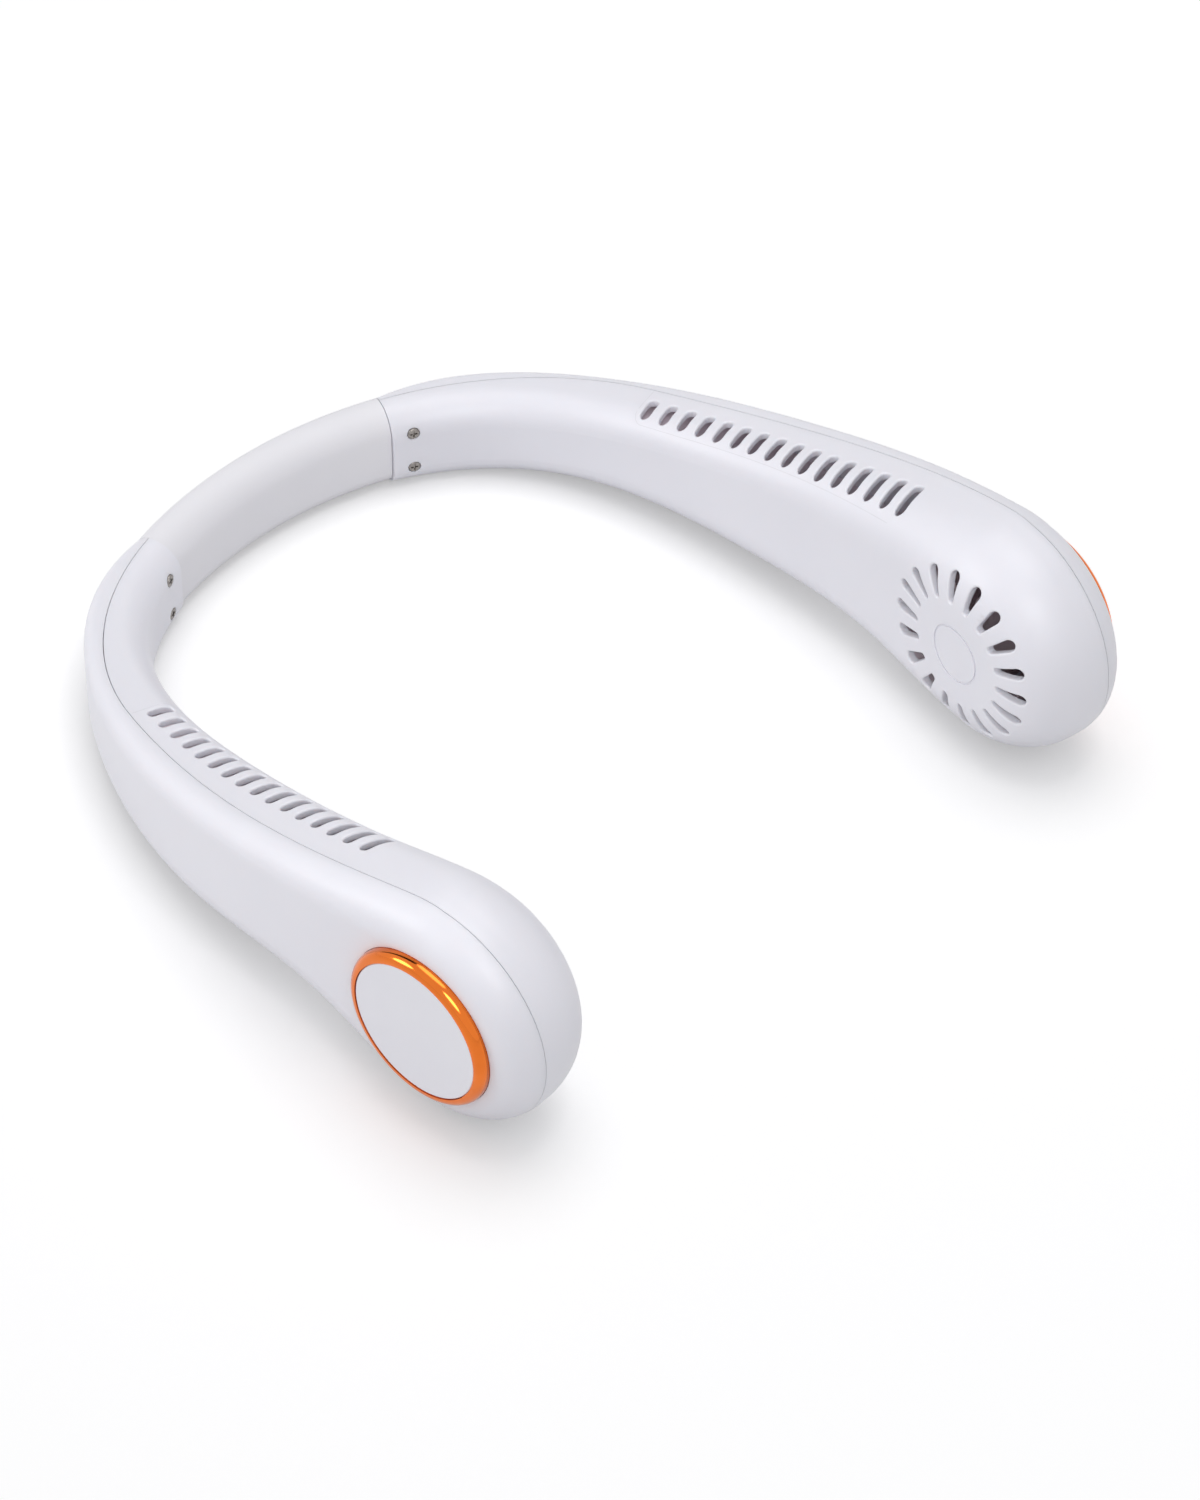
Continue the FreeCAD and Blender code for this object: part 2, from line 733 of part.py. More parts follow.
def build_shells():
    """Both shells of the left arm, its air guide, volute wall and anchor, and its lead."""
    outer_form = arm_form(0.0)
    cavity = arm_form(WALL, WALL / seam.arm)
    middle_form = arm_form(WALL / 2, WALL / seam.arm)
    inside = arm_form(WALL + FIT, ANCHOR_START / seam.arm)
    below = box(FreeCAD.Placement(), Vector(-FAR, -FAR, -FAR), Vector(FAR, FAR, 0))
    hollow = outer_form.cut([cavity, below])
    neck_side, far_side = side_region(-1), side_region(1)

    base_room = cylinder(TIP_FRAME, number("motor_base_radius") + FIT, -FAR, FAR)
    root_frame = seam.frame(seam.junction)
    anchor_room = box(root_frame, Vector(-FAR, -FAR, -OVERRUN), Vector(ANCHOR_END + FIT, FAR, FAR))
    lead = bent_tube(lead_points(), number("cable_radius")).cut([base_room, anchor_room])
    lead_room = bent_tube(lead_points(), number("cable_radius") + FIT)
    ribs = rib_solids(middle_form, lead_room)

    passage = [
        along_seam(seam.junction - FIT, seam.junction + ANCHOR_END, -number("strip_depth"),
                   number("strip_bottom") - 2 * FIT, STRIP_HIGH + 2 * FIT, number("strip_thickness") + 4 * FIT),
        tube_along_seam(seam.junction - FIT, seam.junction + ANCHOR_END, -number("strip_depth"),
                        number("cable_height"), number("cable_radius") + 2 * FIT),
    ]
    inner = hollow.common(neck_side).fuse(ribs.common(neck_side))
    openings = slot_cutters() + petal_cutters()
    inner = inner.cut(openings + screw_cutters() + [groove_cutter()] + passage)
    inner = eased_rims(inner, outer_form, openings)

    seat = number("tip_outer_depth") - number("ring_seat")
    foot_low = number("ring_radius") - number("ring_foot_width") - FIT
    groove = cylinder(TIP_FRAME, number("ring_radius") + FIT, seat, seat + OVERRUN)
    groove = groove.cut(cylinder(TIP_FRAME, foot_low, seat, seat + OVERRUN))
    motor_holes = [cylinder(frame, number("screw_shank_radius") + FIT, -FIT, WALL + OVERRUN)
                   for frame in motor_screw_frames()]
    motor_seat = number("tip_outer_depth") - WALL
    flat = cylinder(TIP_FRAME, number("motor_base_radius") + FIT, motor_seat - WALL, motor_seat)
    outer = hollow.common(far_side).fuse(ribs.common(far_side)).cut([groove, flat] + motor_holes)

    # The guide is a floor under the slots with a stop at its blind end.
    rear = seam.junction + number("guide_start")
    floor_low = number("guide_height")
    floor_high = floor_low + number("guide_thickness")
    volute_outer = number("volute_radius") + number("volute_wall")
    reach_high = number("volute_reach")
    barrel = cylinder(TIP_FRAME, volute_outer + FIT, -FAR, FAR)
    behind = box(seam.frame(rear), Vector(0, -FAR, -OVERRUN), Vector(FAR, FAR, FAR))
    floor = box(FreeCAD.Placement(), Vector(-FAR, -FAR, floor_low), Vector(FAR, FAR, floor_high))
    stop = box(seam.frame(rear), Vector(0, -FAR, floor_low), Vector(number("guide_thickness"), FAR, FAR))
    ahead = box(TIP_FRAME, Vector(-FAR, -FAR, -FAR), Vector(0, FAR, FAR))
    guide = inside.common(behind).common(floor.fuse(stop)).cut([barrel, ahead])

    wedge_low, wedge_high = -number("volute_end"), -number("volute_start")
    sweep = Part.makeCylinder(volute_outer, FAR, Vector(0, 0, -FAR), UP, wedge_high - wedge_low)
    core = Part.makeCylinder(number("volute_radius"), FAR, Vector(0, 0, -FAR))
    wall = sweep.cut(core)
    turn = FreeCAD.Placement(Vector(0, 0, reach_high), FreeCAD.Rotation(UP, wedge_low))
    wall.Placement = TIP_FRAME.multiply(turn)
    volute = inside.common(wall)

    slab = box(seam.frame(seam.junction), Vector(ANCHOR_START, -FAR, -OVERRUN), Vector(ANCHOR_END, FAR, FAR))
    pilots = [cylinder(frame, number("screw_shank_radius") + number("running_gap"), -OVERRUN,
                       number("screw_length") + FIT) for frame in screw_frames()]
    anchor = inside.common(slab).cut(pilots + passage)
    return inner, outer, guide, volute, anchor, lead, middle_form


def shaped(label, shape):
    """A sub-part whose free form is made by lofts and cuts."""
    solids = shape.Solids
    whole = solids[0] if len(solids) == 1 else Part.makeCompound(solids)
    feature = doc.addObject("Part::Feature", label)
    feature.Shape = whole
    return keep(feature, label)


def mirrored(source, label):
    """The right-hand twin of a left-hand piece."""
    twin = doc.addObject("Part::Mirroring", label)
    twin.Source = source
    twin.Base = ORIGIN
    twin.Normal = ACROSS
    return keep(twin, label)


# Sketched pieces.
def origin_plane(body, role):
    return [plane for plane in body.Origin.OriginFeatures if plane.Role == role][0]


def new_sketch(body, role, name):
    sketch = body.newObject("Sketcher::SketchObject", name)
    sketch.AttachmentSupport = [(origin_plane(body, role), "")]
    sketch.MapMode = "FlatFace"
    return sketch


def pin_down(sketch, geometry, position, x, y):
    """Fix a point of a sketch at two sizes from the origin."""
    for kind, size in (("DistanceX", x), ("DistanceY", y)):
        index = sketch.addConstraint(Sketcher.Constraint(kind, -1, 1, geometry, position, size.value))
        sketch.setExpression(f"Constraints[{index}]", size.formula)


def corner_cut(before, corner, after, radius):
    """Where a corner round begins and ends, with its centre."""
    into, onward = corner - before, after - corner
    half = into.getAngle(onward) / 2
    cut = radius * math.tan(half)
    into.normalize()
    onward.normalize()
    inward = onward - into
    inward.normalize()
    return corner - into * cut, corner + onward * cut, corner + inward * (radius / math.cos(half))


def add_outline(sketch, corners):
    """Closed outline through corners, each two sizes and, where it is rounded, a radius."""
    points = [Vector(c[0].value, c[1].value, 0) for c in corners]
    count = len(corners)
    starts, ends, centres = [], [], []
    for index, corner in enumerate(corners):
        here = points[index]
        if len(corner) < 3:
            first, last, centre = here, here, None
        else:
            onward = points[(index + 1) % count]
            first, last, centre = corner_cut(points[index - 1], here, onward, corner[2].value)
        starts.append(first)
        ends.append(last)
        centres.append(centre)
    lines = []
    for index in range(count):
        following = (index + 1) % count
        lines.append(sketch.addGeometry(Part.LineSegment(ends[index], starts[following]), False))
    for index, corner in enumerate(corners):
        into, onward = lines[index - 1], lines[index]
        if len(corner) < 3:
            sketch.addConstraint(Sketcher.Constraint("Coincident", into, 2, onward, 1))
            pin_down(sketch, onward, 1, corner[0], corner[1])
        else:
            round_corner(sketch, corner, into, onward, starts[index], ends[index], centres[index])


def round_corner(sketch, corner, into, onward, first, last, centre):
    """Tangent arc between two lines, about a corner point that stays in the sketch."""
    radius = corner[2]
    angles = [math.atan2(point.y - centre.y, point.x - centre.x) for point in (first, last)]
    swing = (angles[1] - angles[0]) % (2 * math.pi)
    forward = swing < math.pi
    low, high = angles if forward else angles[::-1]
    circle = Part.Circle(centre, UP, radius.value)
    arc = sketch.addGeometry(Part.ArcOfCircle(circle, low, high), False)
    first_end, last_end = (1, 2) if forward else (2, 1)
    sketch.addConstraint(Sketcher.Constraint("Tangent", into, 2, arc, first_end))
    sketch.addConstraint(Sketcher.Constraint("Tangent", arc, last_end, onward, 1))
    index = sketch.addConstraint(Sketcher.Constraint("Radius", arc, radius.value))
    sketch.setExpression(f"Constraints[{index}]", radius.formula)
    tip = sketch.addGeometry(Part.Point(Vector(corner[0].value, corner[1].value, 0)), True)
    sketch.addConstraint(Sketcher.Constraint("PointOnObject", tip, 1, into))
    sketch.addConstraint(Sketcher.Constraint("PointOnObject", tip, 1, onward))
    pin_down(sketch, tip, 1, corner[0], corner[1])


def new_body(label):
    return doc.addObject("PartDesign::Body", label)


def turn_outline(body, corners, name="Revolution", kind="PartDesign::Revolution"):
    """Revolve an outline of radius and height about the body's Z axis."""
    sketch = new_sketch(body, "XZ_Plane", f"{body.Name}_{name}_outline")
    add_outline(sketch, corners)
    feature = body.newObject(kind, f"{body.Name}_{name}")
    feature.Profile = sketch
    feature.ReferenceAxis = (sketch, ["V_Axis"])
    feature.Angle = 360
    return feature


def pad_outline(body, role, corners, length, name, reverse=False, kind="PartDesign::Pad"):
    """Pad or pocket an outline square to one of the body's planes."""
    sketch = new_sketch(body, role, f"{body.Name}_{name}_outline")
    add_outline(sketch, corners)
    feature = body.newObject(kind, f"{body.Name}_{name}")
    feature.Profile = sketch
    feature.Length = length.value
    feature.setExpression("Length", length.formula)
    feature.Reversed = reverse
    return feature


def repeat(body, feature, count, name):
    """Copies of a feature round the body's Z axis."""
    pattern = body.newObject("PartDesign::PolarPattern", f"{body.Name}_{name}")
    pattern.Originals = [feature]
    pattern.Axis = (origin_axis(body, "Z_Axis"), [""])
    pattern.Angle = 360
    pattern.Occurrences = int(count.value)
    pattern.setExpression("Occurrences", count.formula)
    body.Tip = pattern
    return pattern


def origin_axis(body, role):
    return [axis for axis in body.Origin.OriginFeatures if axis.Role == role][0]


def rectangle(low_x, low_y, high_x, high_y, radius=None):
    """Corners of a rectangle, rounded where a radius is given."""
    corners = [(low_x, low_y), (high_x, low_y), (high_x, high_y), (low_x, high_y)]
    return corners if radius is None else [corner + (radius,) for corner in corners]


def turned(label, corners, frame):
    """A round piece about the Z axis of its frame."""
    body = new_body(label)
    turn_outline(body, corners)
    doc.recompute()
    body.Placement = frame
    return keep(body, label)


def build_trim():
    """Orange ring in its groove on the outer shell, and the white cap on the ring's ledge."""
    face = dim.tip_outer_depth
    foot = face - dim.ring_seat
    crest = face + dim.ring_height
    ledge = face + dim.ledge_height
    bore = dim.cap_radius + dim.fit_gap
    foot_inside = dim.ring_radius - dim.ring_foot_width
    ring = turned("left_trim_ring", [
        (foot_inside, foot), (dim.ring_radius, foot), (dim.ring_radius, crest, dim.ring_round), (bore, crest),
        (bore, ledge), (dim.ledge_radius, ledge), (dim.ledge_radius, face), (foot_inside, face),
    ], TIP_FRAME)
    top = crest - dim.cap_recess
    skirt = dim.ledge_radius - dim.fit_gap
    inside = skirt - dim.cap_skirt_width
    skirt_foot = ledge - dim.cap_skirt_height
    cap = turned("left_outer_cap", [
        (ZERO, ledge), (inside, ledge), (inside, skirt_foot), (skirt, skirt_foot), (skirt, ledge),
        (dim.cap_radius, ledge), (dim.cap_radius, top, dim.cap_edge_round), (ZERO, top),
    ], TIP_FRAME)
    return [ring, cap]


def build_motor():
    """Motor base with its bearing tube, sleeve bearing, stator, and the rotor on its shaft."""
    seat = dim.tip_outer_depth - dim.wall
    plate = seat - dim.motor_base_thickness
    tube_end = plate - dim.tube_length
    bore = dim.bearing_radius + dim.running_gap
    base = new_body("left_motor_base")
    turn_outline(base, [
        (bore, tube_end), (dim.tube_radius, tube_end), (dim.tube_radius, plate),
        (dim.motor_base_radius, plate), (dim.motor_base_radius, seat), (bore, seat),
    ])
    pilot = new_sketch(base, "XY_Plane", "left_motor_base_pilot_outline")
    lift_sketch(pilot, seat)
    add_circle(pilot, dim.motor_screw_circle, ZERO, dim.screw_shank_radius + dim.running_gap)
    hole = base.newObject("PartDesign::Pocket", "left_motor_base_pilot")
    hole.Profile = pilot
    hole.Length = dim.motor_base_thickness.value
    hole.setExpression("Length", dim.motor_base_thickness.formula)
    repeat(base, hole, dim.motor_screw_count, "pilots")
    doc.recompute()
    base.Placement = TIP_FRAME
    keep(base, "left_motor_base")
    shaft_bore = dim.shaft_radius + dim.running_gap
    bearing = turned("left_sleeve_bearing", [
        (shaft_bore, tube_end), (dim.bearing_radius, tube_end),
        (dim.bearing_radius, plate), (shaft_bore, plate),
    ], TIP_FRAME)

    stator_top = plate - dim.stator_lift
    stator_foot = stator_top - dim.stator_height
    stator_bore = dim.tube_radius + dim.running_gap
    stator = new_body("left_stator")
    turn_outline(stator, [
        (stator_bore, stator_foot), (dim.stator_core_radius, stator_foot),
        (dim.stator_core_radius, stator_top), (stator_bore, stator_top),
    ])
    tooth = new_sketch(stator, "XZ_Plane", "left_stator_tooth_outline")
    middle = (stator_bore + dim.stator_core_radius) / 2
    add_outline(tooth, rectangle(middle, stator_foot, dim.stator_radius, stator_top))
    pad = stator.newObject("PartDesign::Pad", "left_stator_tooth")
    pad.Profile = tooth
    pad.Midplane = True
    pad.Length = dim.tooth_width.value
    pad.setExpression("Length", dim.tooth_width.formula)
    repeat(stator, pad, dim.tooth_count, "teeth")
    doc.recompute()
    stator.Placement = TIP_FRAME
    keep(stator, "left_stator")

    can_mouth = plate - dim.can_lift
    can_end = can_mouth - dim.can_height
    can_inside = dim.can_radius - dim.can_wall
    can_floor = can_end + dim.can_wall
    can = turned("left_rotor_can", [
        (dim.shaft_radius, can_end), (dim.can_radius, can_end), (dim.can_radius, can_mouth),
        (can_inside, can_mouth), (can_inside, can_floor), (dim.shaft_radius, can_floor),
    ], TIP_FRAME)
    magnet = turned("left_magnet_ring", [
        (dim.magnet_radius, stator_foot), (can_inside, stator_foot), (can_inside, can_mouth),
        (dim.magnet_radius, can_mouth),
    ], TIP_FRAME)
    shaft = turned("left_fan_shaft", [
        (ZERO, can_end), (dim.shaft_radius, can_end), (dim.shaft_radius, plate), (ZERO, plate),
    ], TIP_FRAME)
    return [base, bearing, stator, can, magnet, shaft], can_end


def build_impeller(can_end):
    """Hub cup, back plate, curved blades and inlet ring, in one moulding."""
    seat = dim.tip_outer_depth - dim.wall
    plate_back = seat - dim.plate_lift
    plate_front = plate_back - dim.plate_thickness
    hub_inside = dim.can_radius
    hub = hub_inside + dim.hub_wall
    hub_end = can_end - dim.hub_top
    body = new_body("left_impeller")
    turn_outline(body, [
        (ZERO, hub_end), (hub, hub_end, dim.hub_wall), (hub, plate_front), (dim.plate_radius, plate_front),
        (dim.plate_radius, plate_back), (hub_inside, plate_back), (hub_inside, can_end), (ZERO, can_end),
    ], "hub")
    blade = new_sketch(body, "XY_Plane", "left_impeller_blade_outline")
    lift_sketch(blade, plate_front)
    add_blade(blade)
    pad = body.newObject("PartDesign::Pad", "left_impeller_blade")
    pad.Profile = blade
    pad.Length = dim.blade_height.value
    pad.setExpression("Length", dim.blade_height.formula)
    pad.Reversed = True
    repeat(body, pad, dim.blade_count, "blades")
    ring_foot = plate_front - dim.blade_height
    ring_inside = dim.plate_radius - dim.inlet_ring_width
    ring = turn_outline(body, rectangle(
        ring_inside, ring_foot - dim.inlet_ring_thickness, dim.plate_radius, ring_foot), "inlet_ring")
    body.Tip = ring
    doc.recompute()
    body.Placement = TIP_FRAME
    return keep(body, "left_impeller")


def add_blade(sketch):
    """Outline of one blade: two bowed sides and two short ends."""
    near, far = dim.blade_inner_radius, dim.blade_outer_reach
    sweep, thick = dim.blade_sweep, dim.blade_thickness
    ends = [(near, ZERO), (far, sweep), (far, sweep + thick), (near, thick)]
    points = [Vector(x.value, y.value, 0) for x, y in ends]
    sides = [bowed_arc(points[0], points[1]), bowed_arc(points[3], points[2])]
    first = sketch.addGeometry(sides[0], False)
    second = sketch.addGeometry(sides[1], False)
    inner = sketch.addGeometry(Part.LineSegment(points[0], points[3]), False)
    outer = sketch.addGeometry(Part.LineSegment(points[1], points[2]), False)
    for arc, line_end in ((first, 1), (second, 2)):
        start, finish = arc_ends(sketch, arc)
        sketch.addConstraint(Sketcher.Constraint("Coincident", arc, start, inner, line_end))
        sketch.addConstraint(Sketcher.Constraint("Coincident", arc, finish, outer, line_end))
        index = sketch.addConstraint(Sketcher.Constraint("Radius", arc, dim.blade_bow.value))
        sketch.setExpression(f"Constraints[{index}]", dim.blade_bow.formula)
    pin_down(sketch, inner, 1, *ends[0])
    pin_down(sketch, inner, 2, *ends[3])
    pin_down(sketch, outer, 1, *ends[1])
    pin_down(sketch, outer, 2, *ends[2])


def bowed_arc(start, end):
    """Arc of the blade's bow between two points, hollow towards the hub."""
    chord = end - start
    half = chord.Length / 2
    radius = number("blade_bow")
    side = Vector(-chord.y, chord.x, 0).normalize()
    centre = (start + end) / 2 + side * math.sqrt(radius * radius - half * half)
    low = math.atan2(start.y - centre.y, start.x - centre.x)
    high = math.atan2(end.y - centre.y, end.x - centre.x)
    return Part.ArcOfCircle(Part.Circle(centre, UP, radius), low, high)


def arc_ends(sketch, arc):
    """Positions of a blade arc's inner and outer end."""
    begin = sketch.getPoint(arc, 1)
    finish = sketch.getPoint(arc, 2)
    return (1, 2) if begin.x < finish.x else (2, 1)


def lift_sketch(sketch, height):
    """Move a sketch along its normal by a size."""
    sketch.AttachmentOffset = FreeCAD.Placement(Vector(0, 0, height.value), FreeCAD.Rotation())
    sketch.setExpression("AttachmentOffset.Base.z", height.formula)


def add_circle(sketch, x, y, radius):
    """Circle at two sizes from the origin."""
    circle = sketch.addGeometry(Part.Circle(Vector(x.value, y.value, 0), UP, radius.value), False)
    index = sketch.addConstraint(Sketcher.Constraint("Radius", circle, radius.value))
    sketch.setExpression(f"Constraints[{index}]", radius.formula)
    pin_down(sketch, circle, 3, x, y)


def build_band():
    """Soft sleeve of the band, with the spring strip and the cable that run through it."""
    axis = dim.band_radius
    low_out, high_out = axis - dim.band_inner_depth, axis + dim.root_outer_depth
    body = new_body("band_sleeve")
    sleeve = turn_outline(body, [
        (low_out, ZERO, dim.band_lower_inner_round), (high_out, ZERO, dim.band_lower_outer_round),
        (high_out, dim.band_crown, dim.band_outer_round), (low_out, dim.band_crown, dim.band_inner_round),
    ], "sleeve")
    sleeve.Midplane = True
    end_turn = "Dimensions.band_end_gap / Dimensions.band_radius * 180 / pi"
    sleeve.setExpression("Angle", f"2 * (Dimensions.band_angle - {end_turn})")

    middle = axis - dim.strip_depth
    half = dim.strip_thickness / 2 + dim.fit_gap
    strip_top = dim.strip_bottom + dim.strip_height + dim.fit_gap
    strip_outline = rectangle(middle - half, dim.strip_bottom - dim.fit_gap, middle + half, strip_top)
    strip_way = turn_outline(body, strip_outline, "strip_way", "PartDesign::Groove")
    cable_sketch = new_sketch(body, "XZ_Plane", "band_sleeve_cable_way_outline")
    add_circle(cable_sketch, middle, dim.cable_height, dim.cable_radius + dim.fit_gap)
    cable_way = body.newObject("PartDesign::Groove", "band_sleeve_cable_way")
    cable_way.Profile = cable_sketch
    cable_way.ReferenceAxis = (cable_sketch, ["V_Axis"])
    for groove in (strip_way, cable_way):
        groove.Midplane = True
        groove.setExpression("Angle", "2 * Dimensions.band_angle")
    doc.recompute()
    body.Placement = FreeCAD.Placement(seam.arcs[0][3], FreeCAD.Rotation(UP, 90))
    keep(body, "band_sleeve")

    reach = seam.junction + WALL + number("strip_reach")
    half_strip = along_seam(0.0, reach, -number("strip_depth"), number("strip_bottom"), STRIP_HIGH,
                            number("strip_thickness"))
    shaped("band_spring", both_sides(half_strip))
    cable_end = seam.junction + ANCHOR_END - FIT
    half_cable = tube_along_seam(0.0, cable_end, -number("strip_depth"), number("cable_height"),
                                 number("cable_radius"))
    shaped("band_cable", both_sides(half_cable))


def both_sides(half):
    """A half that ends on the mirror plane, joined to its mirror image."""
    return half.fuse(half.mirror(ORIGIN, ACROSS)).removeSplitter()


def cross_outline(length, width):
    """Corners of a plus-shaped driver recess."""
    reach, half = length / 2, width / 2
    return [
        (reach, -half), (reach, half), (half, half), (half, reach), (-half, reach), (-half, half),
        (-reach, half), (-reach, -half), (-half, -half), (-half, -reach), (half, -reach), (half, -half),
    ]


def build_screws():
    """One cross-head screw, and the copies of it that hold the band and the motor."""
    screw = new_body("screw_form")
    head = -dim.screw_head_height
    turn_outline(screw, [
        (ZERO, head), (dim.screw_head_radius, head, dim.screw_head_height / 2), (dim.screw_head_radius, ZERO),
        (dim.screw_shank_radius, ZERO), (dim.screw_shank_radius, dim.screw_length), (ZERO, dim.screw_length),
    ])
    sketch = new_sketch(screw, "XY_Plane", "screw_form_cross_outline")
    lift_sketch(sketch, head)
    add_outline(sketch, cross_outline(dim.cross_length, dim.cross_width))
    cross = screw.newObject("PartDesign::Pocket", "screw_form_cross")
    cross.Profile = sketch
    cross.Length = dim.cross_depth.value
    cross.setExpression("Length", dim.cross_depth.formula)
    cross.Reversed = True
    doc.recompute()
    groups = []
    for label, frames in (("left_band_screws", screw_frames()), ("left_motor_screws", motor_screw_frames())):
        copies = []
        for frame in frames:
            one = screw.Shape.copy()
            one.Placement = frame
            copies.append(one)
        groups.append(shaped(label, Part.makeCompound(copies)))
    return groups


def build_cell():
    """Battery cell with its raised contact."""
    half = dim.cell_length / 2
    return turned("left_battery_cell", [
        (ZERO, -half), (dim.cell_radius, -half, dim.cell_edge), (dim.cell_radius, half, dim.cell_edge),
        (dim.cell_nub_radius, half), (dim.cell_nub_radius, half + dim.cell_nub_height),
        (ZERO, half + dim.cell_nub_height),
    ], cell_frame())


# Controls under the right arm. Their middle line lies half a socket out from the board.
CONTROL_OUT = number("board_thickness") + number("socket_thickness") / 2 - number("board_depth")
STEM_TOP = (number("boss_top") + number("running_gap") + number("button_flange_height")
            + number("button_stem_height"))
PLUNGER_TIP = STEM_TOP + number("button_travel") + number("running_gap")


def control_frame(offset, out, height):
    """Frame at the board of the right arm, with the offset counted towards the round end."""
    return seam.right_frame(BOARD_DISTANCE).multiply(
        FreeCAD.Placement(Vector(-offset, out, height), FreeCAD.Rotation()))


def build_controls():
    """Circuit board with its socket, key switch and light pipe, and the power button."""
    board_face = number("board_thickness") - number("board_depth")
    half = dim.board_length / 2
    board = new_body("right_circuit_board")
    board_outline = rectangle(-half, ZERO, half, dim.board_height)
    pad_outline(board, "XZ_Plane", board_outline, dim.board_thickness, "board")
    chip_low = dim.board_height - dim.chip_size * 2
    pad_outline(board, "XZ_Plane", rectangle(-dim.chip_size / 2, chip_low, dim.chip_size / 2,
                chip_low + dim.chip_size), dim.chip_height, "chip", reverse=True)
    doc.recompute()
    board.Placement = control_frame(0.0, board_face, BOARD_FOOT.value)
    keep(board, "right_circuit_board")

    socket = new_body("right_charging_socket")
    reach, thick = dim.socket_width / 2, dim.socket_thickness
    shell = dim.socket_wall
    middle, tongue = thick / 2, dim.socket_tongue / 2
    corner = thick * SOCKET_ROUND_SHARE
    pad_outline(socket, "XY_Plane", rectangle(-reach, ZERO, reach, thick, corner), dim.socket_height, "shell")
    mouth = rectangle(shell - reach, shell, reach - shell, thick - shell, corner - shell)
    pad_outline(socket, "XY_Plane", mouth, dim.socket_cavity, "mouth", reverse=True, kind="PartDesign::Pocket")
    pad_outline(socket, "XY_Plane", rectangle(shell * 3 - reach, middle - tongue, reach - shell * 3,
                middle + tongue), dim.socket_cavity, "tongue")
    doc.recompute()
    socket.Placement = control_frame(-number("socket_offset"), board_face, number("socket_bottom"))
    keep(socket, "right_charging_socket")

    switch = new_body("right_key_switch")
    reach = dim.switch_width / 2
    case = rectangle(-reach, ZERO, reach, dim.socket_thickness)
    pad_outline(switch, "XY_Plane", case, dim.switch_height, "case")
    sketch = new_sketch(switch, "XY_Plane", "right_key_switch_plunger_outline")
    add_circle(sketch, ZERO, dim.socket_thickness / 2, dim.plunger_radius)
    plunger = switch.newObject("PartDesign::Pad", "right_key_switch_plunger")
    plunger.Profile = sketch
    plunger.Length = dim.plunger_length.value
    plunger.setExpression("Length", dim.plunger_length.formula)
    plunger.Reversed = True
    doc.recompute()
    switch_foot = PLUNGER_TIP + number("plunger_length")
    switch.Placement = control_frame(number("switch_offset"), board_face, switch_foot)
    keep(switch, "right_key_switch")

    turned("right_light_pipe", [
        (ZERO, dim.light_bottom), (dim.light_radius, dim.light_bottom),
        (dim.light_radius, BOARD_FOOT + dim.chip_height), (ZERO, BOARD_FOOT + dim.chip_height),
    ], control_frame(0.0, CONTROL_OUT, 0.0))

    flange_foot = dim.boss_top + dim.running_gap
    flange_top = flange_foot + dim.button_flange_height
    stem_top = flange_top + dim.button_stem_height
    flange = dim.button_radius + dim.button_flange
    turned("power_button", [
        (ZERO, dim.button_face), (dim.button_radius, dim.button_face, dim.button_face_round),
        (dim.button_radius, flange_foot), (flange, flange_foot), (flange, flange_top),
        (dim.button_stem_radius, flange_top), (dim.button_stem_radius, stem_top), (ZERO, stem_top),
    ], control_frame(number("switch_offset"), CONTROL_OUT, 0.0))


def right_inner_form(inner, middle_form):
    """The inner shell with the openings of the right arm, still on the left side."""
    frame = seam.frame(BOARD_DISTANCE)
    button_place = Vector(number("switch_offset"), CONTROL_OUT, 0)
    button = frame.multiply(FreeCAD.Placement(button_place, FreeCAD.Rotation()))
    light = frame.multiply(FreeCAD.Placement(Vector(0, CONTROL_OUT, 0), FreeCAD.Rotation()))
    boss = middle_form.common(cylinder(button, number("boss_radius"), -OVERRUN, number("boss_top")))
    half = number("socket_width") / 2 + FIT
    depth = number("socket_thickness") / 2 + FIT
    socket_low = Vector(-number("socket_offset") - half, CONTROL_OUT - depth, -OVERRUN)
    socket_high = Vector(half - number("socket_offset"), CONTROL_OUT + depth, number("boss_top"))
    mouth = box(frame, socket_low, socket_high)
    uprights = [edge for edge in mouth.Edges if abs(edge.tangentAt(edge.FirstParameter).z) > FLAT_SHARE]
    mouth = mouth.makeFillet(depth * (1 - FLAT_SHARE), uprights)
    openings = [
        cylinder(button, number("button_radius") + number("button_gap"), -OVERRUN, number("boss_top") + FIT),
        cylinder(button, number("button_radius") + number("button_flange") + number("button_gap"),
                 number("boss_top"), STEM_TOP),
        cylinder(light, number("light_radius") + number("running_gap"), -OVERRUN, number("boss_top")),
        mouth,
    ]
    return inner.fuse(boss).cut(openings)


def build_all():
    """Every piece of the object, left hand first."""
    build_band()
    inner, outer, guide, volute, anchor, lead, middle_form = build_shells()
    left = [
        shaped("left_inner_shell", inner), shaped("left_outer_shell", outer), shaped("left_air_guide", guide),
        shaped("left_volute_wall", volute), shaped("left_band_anchor", anchor), shaped("left_lead", lead),
    ]
    left += build_trim()
    motor, can_end = build_motor()
    left += motor
    left.append(build_impeller(can_end))
    left += build_screws()
    left.append(build_cell())
    right_form = doc.addObject("Part::Feature", "right_inner_shell_form")
    right_form.Shape = right_inner_form(inner, middle_form).Solids[0]
    for piece in left:
        source = right_form if piece.Label == "left_inner_shell" else piece
        mirrored(source, piece.Label.replace("left_", "right_", 1))
    build_controls()


